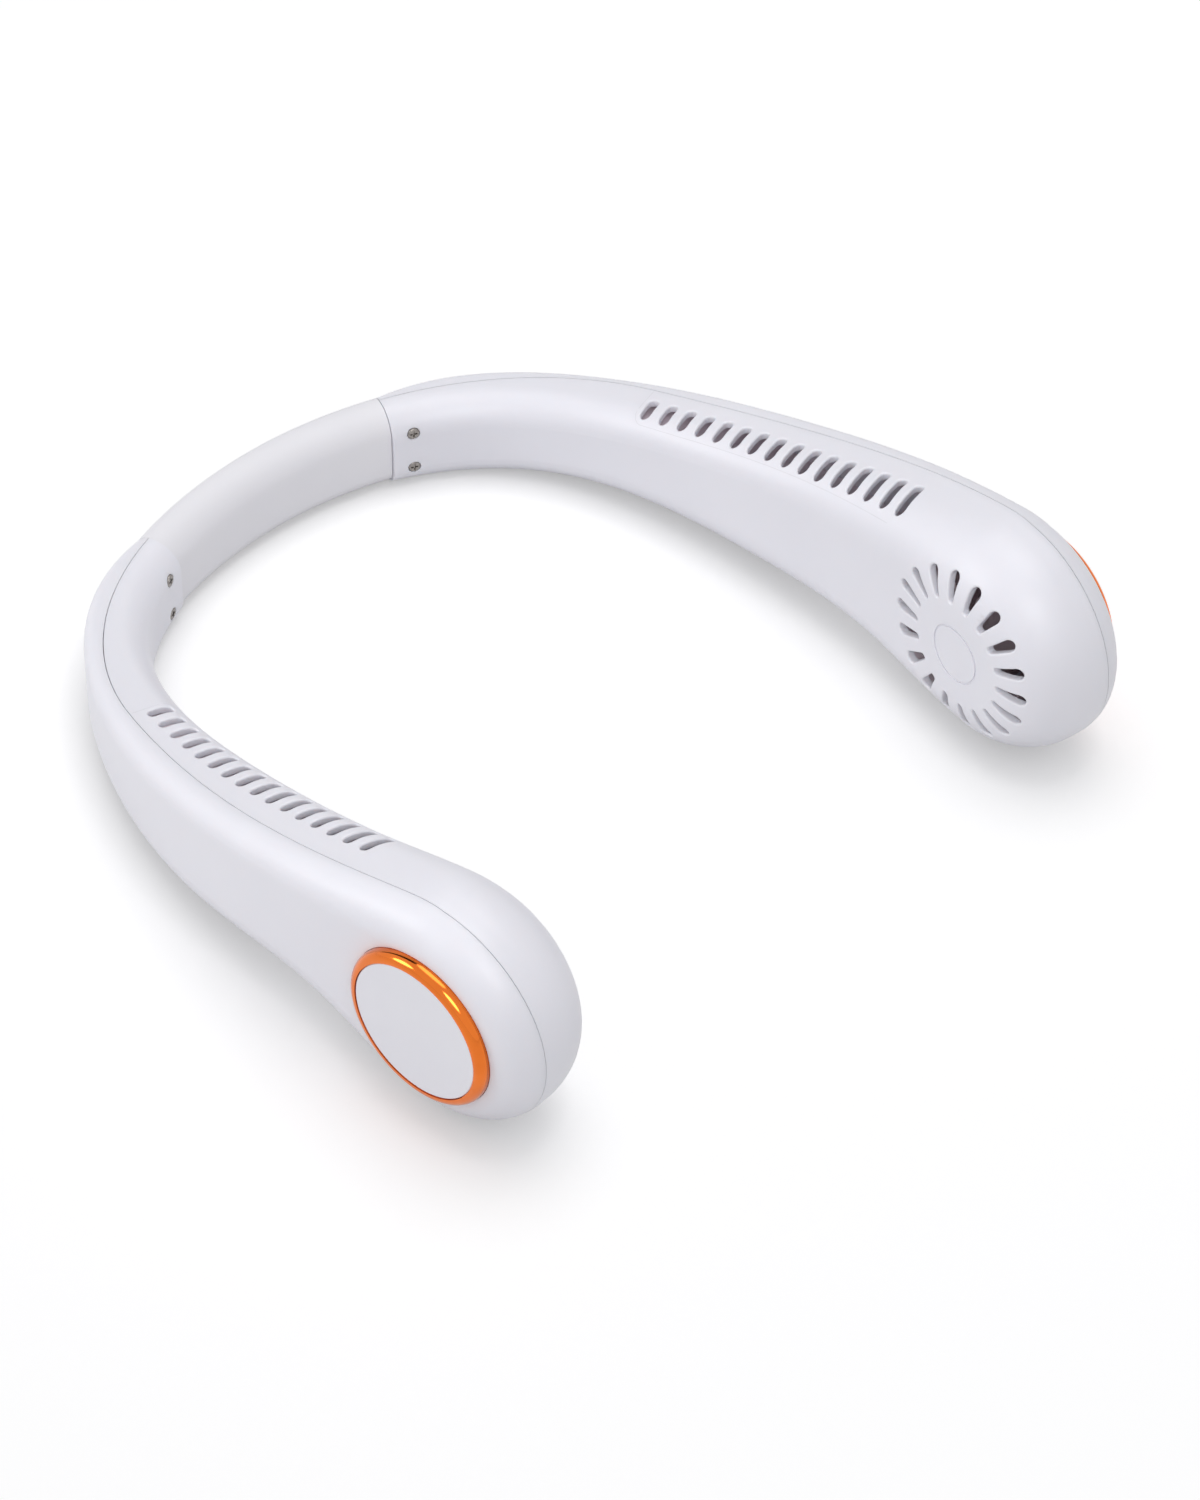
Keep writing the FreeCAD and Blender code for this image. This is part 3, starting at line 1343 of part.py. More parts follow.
def write_parts():
    """Check every object, then write one file for each sub-part."""
    doc.recompute()
    for item in doc.Objects:
        faults = [word for word in item.State if word in ("Invalid", "Error")]
        if faults:
            raise RuntimeError(f"{item.Label} is {faults}")
    for piece in parts:
        if piece.Shape.isNull() or not piece.Shape.isValid():
            raise RuntimeError(f"{piece.Label} has no valid shape")
    os.makedirs("parts", exist_ok=True)
    for piece in parts:
        piece.Shape.exportStep(os.path.join("parts", f"{piece.Label}.step"))
        print(f"{piece.Label}: {len(piece.Shape.Solids)} solid, {piece.Shape.Volume:.1f} mm3")


build_all()
write_parts()
quarter = seam.junction / 2
print("left hinge of the band", seam.point(quarter, -number("strip_depth")))
print("left fan axis", TIP_CENTRE, AXIS)
print("power button", control_frame(number("switch_offset"), CONTROL_OUT, 0.0).Base)
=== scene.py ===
# %% [markdown]
# # An electric neck fan, dressed from its CAD frame
# The frame brings in the imported solids: two hollow arms, the soft band between them, and all
# that is inside. Every solid already has its true shape and place. So this lesson gives each
# one a finish, builds the band again in halves, draws the fine moulding line, and sets up the
# light and the camera.

# %% Load the frame
import math

import bmesh
import bpy
from mathutils import Matrix, Vector
from mathutils.bvhtree import BVHTree


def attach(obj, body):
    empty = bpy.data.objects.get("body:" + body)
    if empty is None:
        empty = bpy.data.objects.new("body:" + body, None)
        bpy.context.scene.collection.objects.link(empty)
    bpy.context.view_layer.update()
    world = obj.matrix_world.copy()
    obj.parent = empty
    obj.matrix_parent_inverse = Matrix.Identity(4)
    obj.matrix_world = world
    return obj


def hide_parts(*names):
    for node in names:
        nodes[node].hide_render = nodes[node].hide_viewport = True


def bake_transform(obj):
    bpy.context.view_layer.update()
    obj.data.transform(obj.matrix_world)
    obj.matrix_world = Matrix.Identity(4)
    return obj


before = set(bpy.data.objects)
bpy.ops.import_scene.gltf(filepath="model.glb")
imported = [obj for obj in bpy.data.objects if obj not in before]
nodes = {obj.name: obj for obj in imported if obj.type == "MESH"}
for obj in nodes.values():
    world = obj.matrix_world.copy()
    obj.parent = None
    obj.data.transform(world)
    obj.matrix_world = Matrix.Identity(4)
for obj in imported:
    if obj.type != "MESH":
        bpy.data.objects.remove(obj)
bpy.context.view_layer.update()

MM = 0.001

# %% [markdown]
# ## The camera
# The photographer stood in front of the fan and to its right, and looked down on it with a
# long lens. A long lens keeps parallel edges nearly parallel. A camera can be turned by three
# angles, but the order of the turns is easy to get wrong. Here the camera's right, up and
# backward directions are written straight into its matrix.

# %% Camera at the photograph's angle
CAMERA_PLACE = Vector((-596.7, -662.75, 870.0)) * MM
CAMERA_AZIMUTH, CAMERA_ELEVATION = math.radians(-43.01), math.radians(44.49)
LENS, SENSOR = 139.47, 36.0


def camera_axes(azimuth, elevation):
    """Right, up and backward directions of a level camera that looks down."""
    right = Vector((math.cos(azimuth), math.sin(azimuth), 0.0))
    level_back = Vector((math.sin(azimuth), -math.cos(azimuth), 0.0))
    back = level_back * math.cos(elevation) + Vector((0.0, 0.0, math.sin(elevation)))
    return right, back.cross(right), back


camera_data = bpy.data.cameras.new("photo_camera")
camera_data.sensor_fit = "VERTICAL"
camera_data.sensor_height = SENSOR
camera_data.lens = LENS
camera = bpy.data.objects.new("photo_camera", camera_data)
bpy.context.scene.collection.objects.link(camera)
axes = camera_axes(CAMERA_AZIMUTH, CAMERA_ELEVATION)
camera.matrix_world = Matrix.Translation(CAMERA_PLACE) @ Matrix(axes).transposed().to_4x4()
bpy.context.scene.camera = camera
print("camera looks along", [round(-x, 3) for x in axes[2]])

# %% [markdown]
# ## A starting point for every finish
# Each finish is one Principled shader with a few texture nodes. One flat colour looks lifeless,
# because a real surface varies a little everywhere. Photographs of a surface can show that, but
# a noise texture is lighter and needs no picture. Object coordinates are in metres here, so a
# noise scale of 4000 makes grains of about a quarter of a millimetre.


# %% A new finish and its noise
def start_finish(name):
    """A new material with its shader, and a texture coordinate that stays with the piece."""
    material = bpy.data.materials.new(name)
    material.use_nodes = True
    tree = material.node_tree
    shader = tree.nodes["Principled BSDF"]
    place = tree.nodes.new("ShaderNodeTexCoord")
    return material, tree, shader, place.outputs["Object"]


def add_noise(tree, place, scale, detail=3.0):
    """Soft random values; a larger scale makes finer grains."""
    noise = tree.nodes.new("ShaderNodeTexNoise")
    noise.inputs["Scale"].default_value = scale
    noise.inputs["Detail"].default_value = detail
    tree.links.new(place, noise.inputs["Vector"])
    return noise.outputs["Fac"]


print("a finish starts from a shader and its noise")

# %% [markdown]
# ## Colour, roughness and relief
# The same kind of noise can drive three things: the colour, the roughness and the fine relief
# of a surface. Noise seldom comes near 0 or 1, so the colour ramp spans only the middle of its
# range. Relief as real geometry would take millions of faces. A bump node only changes how the
# surface catches the light, and that is enough for grains lower than a hair is thick.

# %% Colour, roughness and relief from noise
RAMP_START, RAMP_STOP = 0.3, 0.7


def tint(tree, shader, value, low, high):
    """Base colour that moves between two near colours."""
    ramp = tree.nodes.new("ShaderNodeValToRGB")
    first, last = ramp.color_ramp.elements
    first.position, last.position = RAMP_START, RAMP_STOP
    first.color, last.color = (*low, 1.0), (*high, 1.0)
    tree.links.new(value, ramp.inputs["Fac"])
    tree.links.new(ramp.outputs["Color"], shader.inputs["Base Color"])


def rough(tree, shader, value, low, high):
    """Roughness that moves between two values."""
    spread = tree.nodes.new("ShaderNodeMapRange")
    spread.inputs["To Min"].default_value = low
    spread.inputs["To Max"].default_value = high
    tree.links.new(value, spread.inputs["Value"])
    tree.links.new(spread.outputs["Result"], shader.inputs["Roughness"])


def relief(tree, shader, value, strength, height):
    """Fine bumps of a height in metres."""
    bump = tree.nodes.new("ShaderNodeBump")
    bump.inputs["Strength"].default_value = strength
    bump.inputs["Distance"].default_value = height
    tree.links.new(value, bump.inputs["Height"])
    tree.links.new(bump.outputs["Normal"], shader.inputs["Normal"])


def set_sockets(shader, values):
    """Constants, set straight on the shader's own sockets."""
    for name, value in values.items():
        shader.inputs[name].default_value = value


print("colour ramps span", RAMP_START, "to", RAMP_STOP, "of the noise")

# %% [markdown]
# ## Dressing the nodes
# A finish belongs to a node once it is in the node's list of materials. Faces could be given
# finishes one by one, but here every node is made of one material, so one entry is enough. Most
# pieces have a left and a right twin, and a second helper names both.


# %% A finish for a node
def dress(finish, *names):
    """Give a finish to CAD nodes."""
    for name in names:
        slots = nodes[name].data.materials
        slots.clear()
        slots.append(finish)


def both(name):
    """The names of a left and a right twin."""
    return f"left_{name}", f"right_{name}"


print("twins are named like", both("trim_ring"))

# %% [markdown]
# ## Satin shell plastic
# The arms are injection moulded in a cool white plastic. Moulds for such shells are often spark
# eroded, which leaves an even, very fine grain, so highlights are broad and soft. The colour
# drifts a little over the length of a shell, as pigment does. Light also enters white plastic
# and comes out again nearby. A brighter colour could stand in for that, but subsurface
# scattering acts where the plastic is thin, as in the bars between the slots.

# %% Shell plastic
shell_satin, tree, shader, place = start_finish("shell_satin")
drift = add_noise(tree, place, scale=28.0, detail=2.0)
tint(tree, shader, drift, low=(0.795, 0.790, 0.846), high=(0.822, 0.815, 0.870))
rough(tree, shader, add_noise(tree, place, scale=900.0), low=0.34, high=0.46)
bumps = add_noise(tree, place, scale=5200.0, detail=2.0)
relief(tree, shader, bumps, strength=0.12, height=0.04 * MM)
set_sockets(shader, {
    "IOR": 1.5,
    "Subsurface Weight": 0.3,
    "Subsurface Radius": (2.2 * MM, 1.9 * MM, 1.8 * MM),
    "Subsurface Scale": 1.0,
})
shells = both("inner_shell") + both("outer_shell")
dress(shell_satin, *shells)
print("shell plastic on", shells)

# %% [markdown]
# ## Cap plastic
# The discs inside the orange rings are moulded apart from the shells, and they are a touch
# smoother. A copy of the shell's finish would do, but then shell and cap would melt into one.
# A finish of their own, a shade darker and with lower bumps, keeps them apart.

# %% Cap plastic
cap_satin, tree, shader, place = start_finish("cap_satin")
drift = add_noise(tree, place, scale=60.0, detail=2.0)
tint(tree, shader, drift, low=(0.788, 0.786, 0.838), high=(0.806, 0.803, 0.852))
rough(tree, shader, add_noise(tree, place, scale=1500.0), low=0.40, high=0.50)
bumps = add_noise(tree, place, scale=7000.0, detail=2.0)
relief(tree, shader, bumps, strength=0.08, height=0.03 * MM)
dress(cap_satin, *both("outer_cap"))
print("cap plastic on", both("outer_cap"))

# %% [markdown]
# ## Plated ring
# Rings like these are plastic with a bright plated skin under an orange lacquer. Orange paint
# would show white highlights. A lacquered metal takes its colour in the reflection itself, so
# the shader is fully metallic, with a thin clear coat and hardly any roughness.

# %% Orange plating
ring_plate, tree, shader, place = start_finish("ring_plate")
drift = add_noise(tree, place, scale=120.0)
tint(tree, shader, drift, low=(0.73, 0.162, 0.020), high=(0.81, 0.194, 0.027))
rough(tree, shader, add_noise(tree, place, scale=700.0), low=0.08, high=0.13)
bumps = add_noise(tree, place, scale=2600.0, detail=2.0)
relief(tree, shader, bumps, strength=0.03, height=0.03 * MM)
set_sockets(shader, {"Metallic": 1.0, "Coat Weight": 0.15, "Coat Roughness": 0.06})
dress(ring_plate, *both("trim_ring"))
print("orange plating on", both("trim_ring"))

# %% [markdown]
# ## Nickel screws
# Small cross-head screws are plated with nickel, a slightly warm grey metal. The driver marks
# them and the plating is uneven. Scratches could be painted one by one, but the heads are less
# than 3 mm wide, so fine noise in the colour and the roughness is enough.

# %% Nickel
nickel, tree, shader, place = start_finish("nickel")
drift = add_noise(tree, place, scale=1800.0)
tint(tree, shader, drift, low=(0.22, 0.20, 0.19), high=(0.32, 0.30, 0.28))
rough(tree, shader, add_noise(tree, place, scale=5200.0), low=0.22, high=0.40)
bumps = add_noise(tree, place, scale=9000.0, detail=2.0)
relief(tree, shader, bumps, strength=0.10, height=0.03 * MM)
set_sockets(shader, {"Metallic": 1.0})
screws = both("band_screws") + both("motor_screws")
dress(nickel, *screws)
print("nickel on", screws)

# %% [markdown]
# ## What shows through the slots and the grille
# Behind the openings lie the floor of the air channel, the wall round the fan, and the fan
# itself.
# They look dark because little light gets in. A dark colour would turn black in there, so the
# plastic itself is pale and the openings do the rest. Its mauve tint is painted shade tint,
# copied from the shade inside the slots. The fan is a shade darker and smoother, so that its
# blades stand out from the wall.

# %% Air channel plastic with a painted mauve shade tint
channel_shade_tint, tree, shader, place = start_finish("channel_shade_tint")
drift = add_noise(tree, place, scale=90.0)
# The mauve in these colours is painted shade tint, copied from the shade inside the slots.
tint(tree, shader, drift, low=(0.82, 0.71, 0.77), high=(0.88, 0.77, 0.83))
rough(tree, shader, add_noise(tree, place, scale=1200.0), low=0.45, high=0.60)
relief(tree, shader, add_noise(tree, place, scale=3600.0), strength=0.15, height=0.05 * MM)
channel = both("air_guide") + both("volute_wall") + both("motor_base") + both("band_anchor")
dress(channel_shade_tint, *channel)
print("mauve plastic on", channel)

# %% Fan plastic with a painted mauve shade tint
fan_shade_tint, tree, shader, place = start_finish("fan_shade_tint")
drift = add_noise(tree, place, scale=70.0)
# The mauve in these colours is painted shade tint, copied from the shade inside the slots.
tint(tree, shader, drift, low=(0.68, 0.55, 0.59), high=(0.76, 0.62, 0.66))
rough(tree, shader, add_noise(tree, place, scale=1500.0), low=0.30, high=0.42)
relief(tree, shader, add_noise(tree, place, scale=5000.0), strength=0.08, height=0.03 * MM)
dress(fan_shade_tint, *both("impeller"))
print("darker mauve plastic on", both("impeller"))

# %% [markdown]
# ## Metals of the motor
# The motor is hidden once the shells are closed, but the model is also looked at in parts, so
# each metal gets the finish of the real piece: drawn steel, sintered bronze, copper winding.
# They differ only in colour, shine and grain, so one function makes them all.


# %% Metals
def metal(name, low, high, shine, grain):
    """A metallic finish; its colour drifts four times as slowly as its grain."""
    finish, tree, shader, place = start_finish(name)
    tint(tree, shader, add_noise(tree, place, grain / 4), low, high)
    rough(tree, shader, add_noise(tree, place, grain), *shine)
    relief(tree, shader, add_noise(tree, place, grain * 2), strength=0.12, height=0.03 * MM)
    set_sockets(shader, {"Metallic": 1.0})
    return finish


drawn_steel = metal("drawn_steel", (0.50, 0.50, 0.52), (0.60, 0.60, 0.61), (0.25, 0.38), 1800.0)
strip_steel = metal("strip_steel", (0.38, 0.38, 0.41), (0.47, 0.47, 0.49), (0.28, 0.42), 1400.0)
bronze = metal("sintered_bronze", (0.45, 0.29, 0.13), (0.56, 0.37, 0.18), (0.40, 0.60), 4200.0)
copper = metal("copper_winding", (0.55, 0.22, 0.09), (0.68, 0.30, 0.13), (0.24, 0.36), 3000.0)
stamped = metal("stamped_steel", (0.55, 0.55, 0.57), (0.66, 0.66, 0.67), (0.22, 0.34), 1600.0)
dress(drawn_steel, *both("rotor_can"), *both("fan_shaft"))
dress(bronze, *both("sleeve_bearing"))
dress(copper, *both("stator"))
dress(stamped, "right_charging_socket")
print("metals on the motors and the socket")

# %% [markdown]
# ## The battery, the electronics and the button
# These pieces aren't metal on the outside: a ferrite magnet, a shrink-wrapped cell, a green
# board, black plastics and a white button. They could share one grey finish, since only the
# button shows. A function like the last one makes true colours just as easy.


# %% Plain materials inside
def moulded(name, low, high, shine, grain):
    """A finish that isn't metallic; its colour drifts six times as slowly as its grain."""
    finish, tree, shader, place = start_finish(name)
    tint(tree, shader, add_noise(tree, place, grain / 6), low, high)
    rough(tree, shader, add_noise(tree, place, grain), *shine)
    relief(tree, shader, add_noise(tree, place, grain * 2), strength=0.12, height=0.04 * MM)
    return finish


ferrite = moulded("ferrite", (0.05, 0.05, 0.055), (0.09, 0.09, 0.095), (0.55, 0.75), 3000.0)
cell_wrap = moulded("cell_wrap", (0.10, 0.19, 0.40), (0.13, 0.23, 0.46), (0.22, 0.34), 700.0)
board_green = moulded("solder_mask", (0.015, 0.12, 0.05), (0.03, 0.17, 0.08), (0.25, 0.40), 900.0)
black = moulded("switch_black", (0.02, 0.02, 0.022), (0.04, 0.04, 0.042), (0.45, 0.60), 1800.0)
jacket = moulded("cable_jacket", (0.03, 0.03, 0.033), (0.05, 0.05, 0.055), (0.45, 0.60), 1600.0)
key_white = moulded("key_plastic", (0.70, 0.70, 0.75), (0.74, 0.74, 0.785), (0.36, 0.48), 1600.0)
dress(ferrite, *both("magnet_ring"))
dress(cell_wrap, *both("battery_cell"))
dress(board_green, "right_circuit_board")
dress(black, "right_key_switch")
dress(jacket, *both("lead"))
dress(key_white, "power_button")
print("plain materials on the magnets, the cells, the board, the leads and the button")

# %% [markdown]
# ## The light pipe
# The light pipe carries the glow of a small lamp to the outside. It is clear acrylic. A thin
# transparent skin would look empty, so the shader lets light through the solid and bends it by
# the index of refraction of acrylic.

# %% Clear acrylic
clear_acrylic, tree, shader, place = start_finish("clear_acrylic")
drift = add_noise(tree, place, scale=500.0)
tint(tree, shader, drift, low=(0.86, 0.89, 0.92), high=(0.92, 0.94, 0.96))
rough(tree, shader, add_noise(tree, place, scale=2500.0), low=0.12, high=0.22)
set_sockets(shader, {"Transmission Weight": 0.7, "IOR": 1.49})
dress(clear_acrylic, "right_light_pipe")
print("clear acrylic on right_light_pipe")

# %% [markdown]
# ## Silicone
# The band between the arms is a sleeve of soft silicone. It is duller and a little warmer than
# the shells, and a dusty sheen shows at its edges. Blender has a separate sheen shader for such
# edges, but a small sheen on the same Principled shader keeps the rest of the finish.

# %% Silicone
silicone, tree, shader, place = start_finish("silicone")
drift = add_noise(tree, place, scale=40.0, detail=2.0)
tint(tree, shader, drift, low=(0.790, 0.784, 0.822), high=(0.815, 0.807, 0.840))
rough(tree, shader, add_noise(tree, place, scale=1100.0), low=0.52, high=0.66)
bumps = add_noise(tree, place, scale=3800.0, detail=2.0)
relief(tree, shader, bumps, strength=0.18, height=0.05 * MM)
set_sockets(shader, {
    "Sheen Weight": 0.08,
    "Subsurface Weight": 0.08,
    "Subsurface Radius": (2.0 * MM, 1.8 * MM, 1.6 * MM),
})
print("silicone ready for the band")

# %% [markdown]
# ## Where the band lies
# Seen from above, the band is an arc of a circle that is centred on the mirror plane. It could
# be drawn as a curve object. Plain sums on a radius and an angle are easier to share, because
# the sleeve, the strip and the cable all use the same arc.

# %% The band's arc
BAND_RADIUS = 103.0 * MM
BAND_CENTRE_Y = -12.86 * MM
BAND_TURN = math.radians(18.9)


def band_point(radius, angle, height, side):
    """A place on the band: a radius about its centre, an angle from its middle, a height."""
    x, y = side * radius * math.sin(angle), BAND_CENTRE_Y + radius * math.cos(angle)
    return Vector((x, y, height))


print("band arc", round(BAND_RADIUS * BAND_TURN / MM, 1), "mm from its middle to each arm")

# %% [markdown]
# ## Pieces made of rings
# A long piece of one section is a row of rings with a skin between them. A curve with a bevel
# could make it, but a skin over rings lets the code choose every step along the arc.


# %% A skin over rings
def closed_skin(name, rings):
    """A piece from rings of places: a skin from ring to ring, closed at both ends."""
    mesh = bmesh.new()
    rows = [[mesh.verts.new(place) for place in ring] for ring in rings]
    count = len(rows[0])
    for row, following in zip(rows, rows[1:]):
        for index in range(count):
            after = (index + 1) % count
            mesh.faces.new((row[index], row[after], following[after], following[index]))
    mesh.faces.new(rows[0])
    mesh.faces.new(rows[-1])
    bmesh.ops.recalc_face_normals(mesh, faces=mesh.faces)
    data = bpy.data.meshes.new(name)
    mesh.to_mesh(data)
    mesh.free()
    piece = bpy.data.objects.new(name, data)
    bpy.context.scene.collection.objects.link(piece)
    return piece


print("rings of places become closed pieces")

# %% [markdown]
# ## A box with rounded corners
# The sleeve's section is a box with four different rounds. A bevel modifier would round the
# edges of a solid, but it gives all of them one size. Here each corner is a quarter circle of
# its own size, walked in even steps.


# %% A rounded section
def rounded_section(low, high, corner_rounds, steps=8):
    """A box with corner rounds: lower inner, lower outer, upper outer, upper inner."""
    corners = (
        (low[0], low[1], 180),
        (high[0], low[1], 270),
        (high[0], high[1], 0),
        (low[0], high[1], 90),
    )
    outline = []
    for (x, y, first), size in zip(corners, corner_rounds):
        middle_x = x + (size if x == low[0] else -size)
        middle_y = y + (size if y == low[1] else -size)
        for step in range(steps + 1):
            angle = math.radians(first + 90 * step / steps)
            outline.append((middle_x + size * math.cos(angle), middle_y + size * math.sin(angle)))
    return outline


print("a rounded section has", len(rounded_section((0, 0), (1, 1), (0.1,) * 4)), "points")

# %% [markdown]
# ## Halves of the band
# The band bends when the arms are pulled apart, and one rigid piece can't do that. The sleeve,
# the strip and the cable are each built in two halves, swept from the band's middle to an arm,
# but no bend is set up here.

# %% Sweep the halves
SHARP_ANGLE = math.radians(40)


def swept_half(name, outline, end_turn, side, steps=28):
    """Half of a band piece: the outline copied along the arc from the band's middle."""
    angles = [end_turn * step / steps for step in range(steps + 1)]
    rings = [[band_point(r, angle, z, side) for r, z in outline] for angle in angles]
    piece = closed_skin(name, rings)
    piece.data.shade_smooth()
    piece.data.set_sharp_from_angle(angle=SHARP_ANGLE)
    return piece


def bend_with_arm(piece):
    """Bakes the piece's placement into its mesh."""
    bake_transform(piece)


# %% [markdown]
# ## Sleeve, strip and cable
# In the middle of the sleeve a steel strip holds the bend, and a cable under it joins the arms.
# Each half takes the place of the rigid CAD solid. The sleeve's end stays a hair short of the
# arm, as the real joint does.

# %% Sections of the band
BAND_END_GAP = 0.15 * MM
STRIP_RADIUS = BAND_RADIUS - 1.6 * MM
SLEEVE_LOW = (BAND_RADIUS - 6.9 * MM, 0.0)
SLEEVE_HIGH = (BAND_RADIUS + 3.4 * MM, 19.9 * MM)
SLEEVE_ROUNDS = (4.4 * MM, 5.2 * MM, 3.8 * MM, 6.0 * MM)
STRIP_LOW = (STRIP_RADIUS - 0.35 * MM, 7.2 * MM)
STRIP_HIGH = (STRIP_RADIUS + 0.35 * MM, 16.8 * MM)
STRIP_ROUNDS = (0.1 * MM,) * 4
CABLE_RADIUS, CABLE_HEIGHT, CABLE_SIDES = 0.9 * MM, 5.1 * MM, 16

sleeve_outline = rounded_section(SLEEVE_LOW, SLEEVE_HIGH, SLEEVE_ROUNDS)
strip_outline = rounded_section(STRIP_LOW, STRIP_HIGH, STRIP_ROUNDS, steps=2)
cable_angles = [2 * math.pi * k / CABLE_SIDES for k in range(CABLE_SIDES)]
cable_outline = [
    (STRIP_RADIUS + CABLE_RADIUS * math.cos(angle), CABLE_HEIGHT + CABLE_RADIUS * math.sin(angle))
    for angle in cable_angles
]
print("points round:", len(sleeve_outline), len(strip_outline), len(cable_outline))

# %% The six halves
SIDES = (("left", 1), ("right", -1))
BAND_PIECES = (
    ("sleeve", sleeve_outline, silicone, "band_sleeve", "soft_band"),
    ("strip", strip_outline, strip_steel, "band_spring", "spring_steel"),
    ("cable", cable_outline, jacket, "band_cable", "cable"),
)
half_turn = BAND_TURN - BAND_END_GAP / BAND_RADIUS
for word, side in SIDES:
    for title, outline, finish, node, slot in BAND_PIECES:
        piece = swept_half(f"{word}_{title}_half", outline, half_turn, side)
        piece.data.materials.append(finish)
        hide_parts(node)
        bend_with_arm(piece)
        print(piece.name, len(piece.data.polygons), "faces")

# %% [markdown]
# ## The parting line beside the air slots
# A hairline runs beside the slots, most likely the edge of an insert in the mould that forms
# them. It leaves the seam ahead of the first slot, turns a corner and passes the inner ends of
# the slots. A picture of the line could be wrapped round the arm, but it would blur close up.
# So the line is planned flat, along the arm's long arc, and laid on the shell later.

# %% Plan of the slot row
SHOULDER_RADIUS, SHOULDER_HEADING = 65.5 * MM, math.radians(74.3)
RUN_RADIUS = 256.0 * MM
SLOT_START, SLOT_PITCH, SLOT_COUNT = 66.1 * MM, 5.13 * MM, 16
ROW_START = SLOT_START - SHOULDER_RADIUS * (SHOULDER_HEADING - BAND_TURN)
ROW_END = ROW_START + SLOT_PITCH * (SLOT_COUNT - 1)


def heading_normal(angle):
    """The direction that points out from an arc, at an angle from the mirror plane."""
    return Vector((math.sin(angle), math.cos(angle), 0.0))


band_centre = Vector((0.0, BAND_CENTRE_Y, 0.0))
shoulder_centre = band_centre + heading_normal(BAND_TURN) * (BAND_RADIUS - SHOULDER_RADIUS)
run_centre = shoulder_centre + heading_normal(SHOULDER_HEADING) * (SHOULDER_RADIUS - RUN_RADIUS)


def row_point(along, setback):
    """A place in plan on the left arm: along the slot row, and set back from the seam."""
    heading = SHOULDER_HEADING + along / RUN_RADIUS
    return run_centre + heading_normal(heading) * (RUN_RADIUS - setback)


print("slot row along", round((ROW_END - ROW_START) / MM, 1), "mm of the arm")

# %% Plan of the hairline
LINE_MARGIN, LINE_CORNER = 2.3 * MM, 2.6 * MM
LINE_START, LINE_FIRST, LINE_LAST = 0.4 * MM, 10.2 * MM, 15.4 * MM


def line_plan(steps=60, corner_steps=8):
    """In from the seam, round a corner, then past the inner ends of the slots."""
    low, straight = ROW_START - LINE_MARGIN, LINE_FIRST - LINE_CORNER
    plan = []
    for k in range(corner_steps):
        plan.append((low, LINE_START + (straight - LINE_START) * k / corner_steps))
    for k in range(corner_steps + 1):
        angle = math.radians(90 * k / corner_steps)
        along = low + LINE_CORNER * (1 - math.cos(angle))
        plan.append((along, straight + LINE_CORNER * math.sin(angle)))
    start = low + LINE_CORNER
    for k in range(1, steps + 1):
        share = k / steps
        setback = LINE_FIRST + (LINE_LAST - LINE_FIRST) * share
        plan.append((start + (ROW_END - start) * share, setback))
    return plan


print("hairline planned with", len(line_plan()), "places")

# %% [markdown]
# ## The line on the shell
# The shell curves both ways, so a flat line would float in one place and sink in another. A ray
# is dropped from above each place of the plan, and where it meets the shell it gives the height
# and the tilt of the surface. A strip about as wide as a hair follows those places.

# %% Where the plan meets a shell
RAY_HEIGHT = 80.0 * MM
DOWN = Vector((0.0, 0.0, -1.0))


def spots_on(shell, side):
    """Where the plan meets the shell from above: places and surface normals."""
    skin = BVHTree.FromObject(shell, bpy.context.evaluated_depsgraph_get())
    spots = []
    for along, setback in line_plan():
        plan = row_point(along, setback)
        hit, normal, _, _ = skin.ray_cast(Vector((side * plan.x, plan.y, RAY_HEIGHT)), DOWN)
        spots.append((hit, normal))
    return spots


heights = [hit.z / MM for hit, _ in spots_on(nodes["left_inner_shell"], 1)]
print("the line lies", round(min(heights), 1), "to", round(max(heights), 1), "mm above the table")

# %% Hairline laid on the shells
HAIRLINE_HALF = 0.06 * MM
HAIRLINE_RISE, HAIRLINE_SINK = 0.012 * MM, 0.03 * MM


def hairline(name, shell, side):
    """A thin strip that follows the shell's surface along the plan."""
    spots = spots_on(shell, side)
    last = len(spots) - 1
    rings = []
    for index, (hit, normal) in enumerate(spots):
        run = spots[min(index + 1, last)][0] - spots[max(index - 1, 0)][0]
        across = normal.cross(run).normalized() * HAIRLINE_HALF
        top, bottom = hit + normal * HAIRLINE_RISE, hit - normal * HAIRLINE_SINK
        rings.append((top + across, top - across, bottom - across, bottom + across))
    return closed_skin(name, rings)


line_grey = moulded(
    "parting_line", (0.70, 0.695, 0.735), (0.73, 0.725, 0.765), (0.40, 0.52), 1600.0
)
for word, side in SIDES:
    strip = hairline(f"{word}_parting_line", nodes[f"{word}_inner_shell"], side)
    strip.data.materials.append(line_grey)
    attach(strip, f"{word}_arm")
    print(strip.name, len(strip.data.polygons), "faces")

# %% [markdown]
# ## The light
# Product photographs of white things are lit by large soft boxes, because a small lamp draws
# hard shadows. One broad light overhead makes the tops bright. A key light, low and behind the
# fan on the left of the picture, shapes the near arm. A fill light beside the camera reaches
# into the slots and the grille.

# %% Lights
FAN_MIDDLE = (0.0, 0.0, 0.03)


def soft_box(name, place, target, size, power):
    """A round area light that faces a target."""
    data = bpy.data.lights.new(name, "AREA")
    data.shape = "DISK"
    data.size = size
    data.energy = power
    lamp = bpy.data.objects.new(name, data)
    lamp.location = place
    lamp.rotation_euler = (Vector(target) - Vector(place)).to_track_quat("-Z", "Y").to_euler()
    bpy.context.scene.collection.objects.link(lamp)
    return lamp


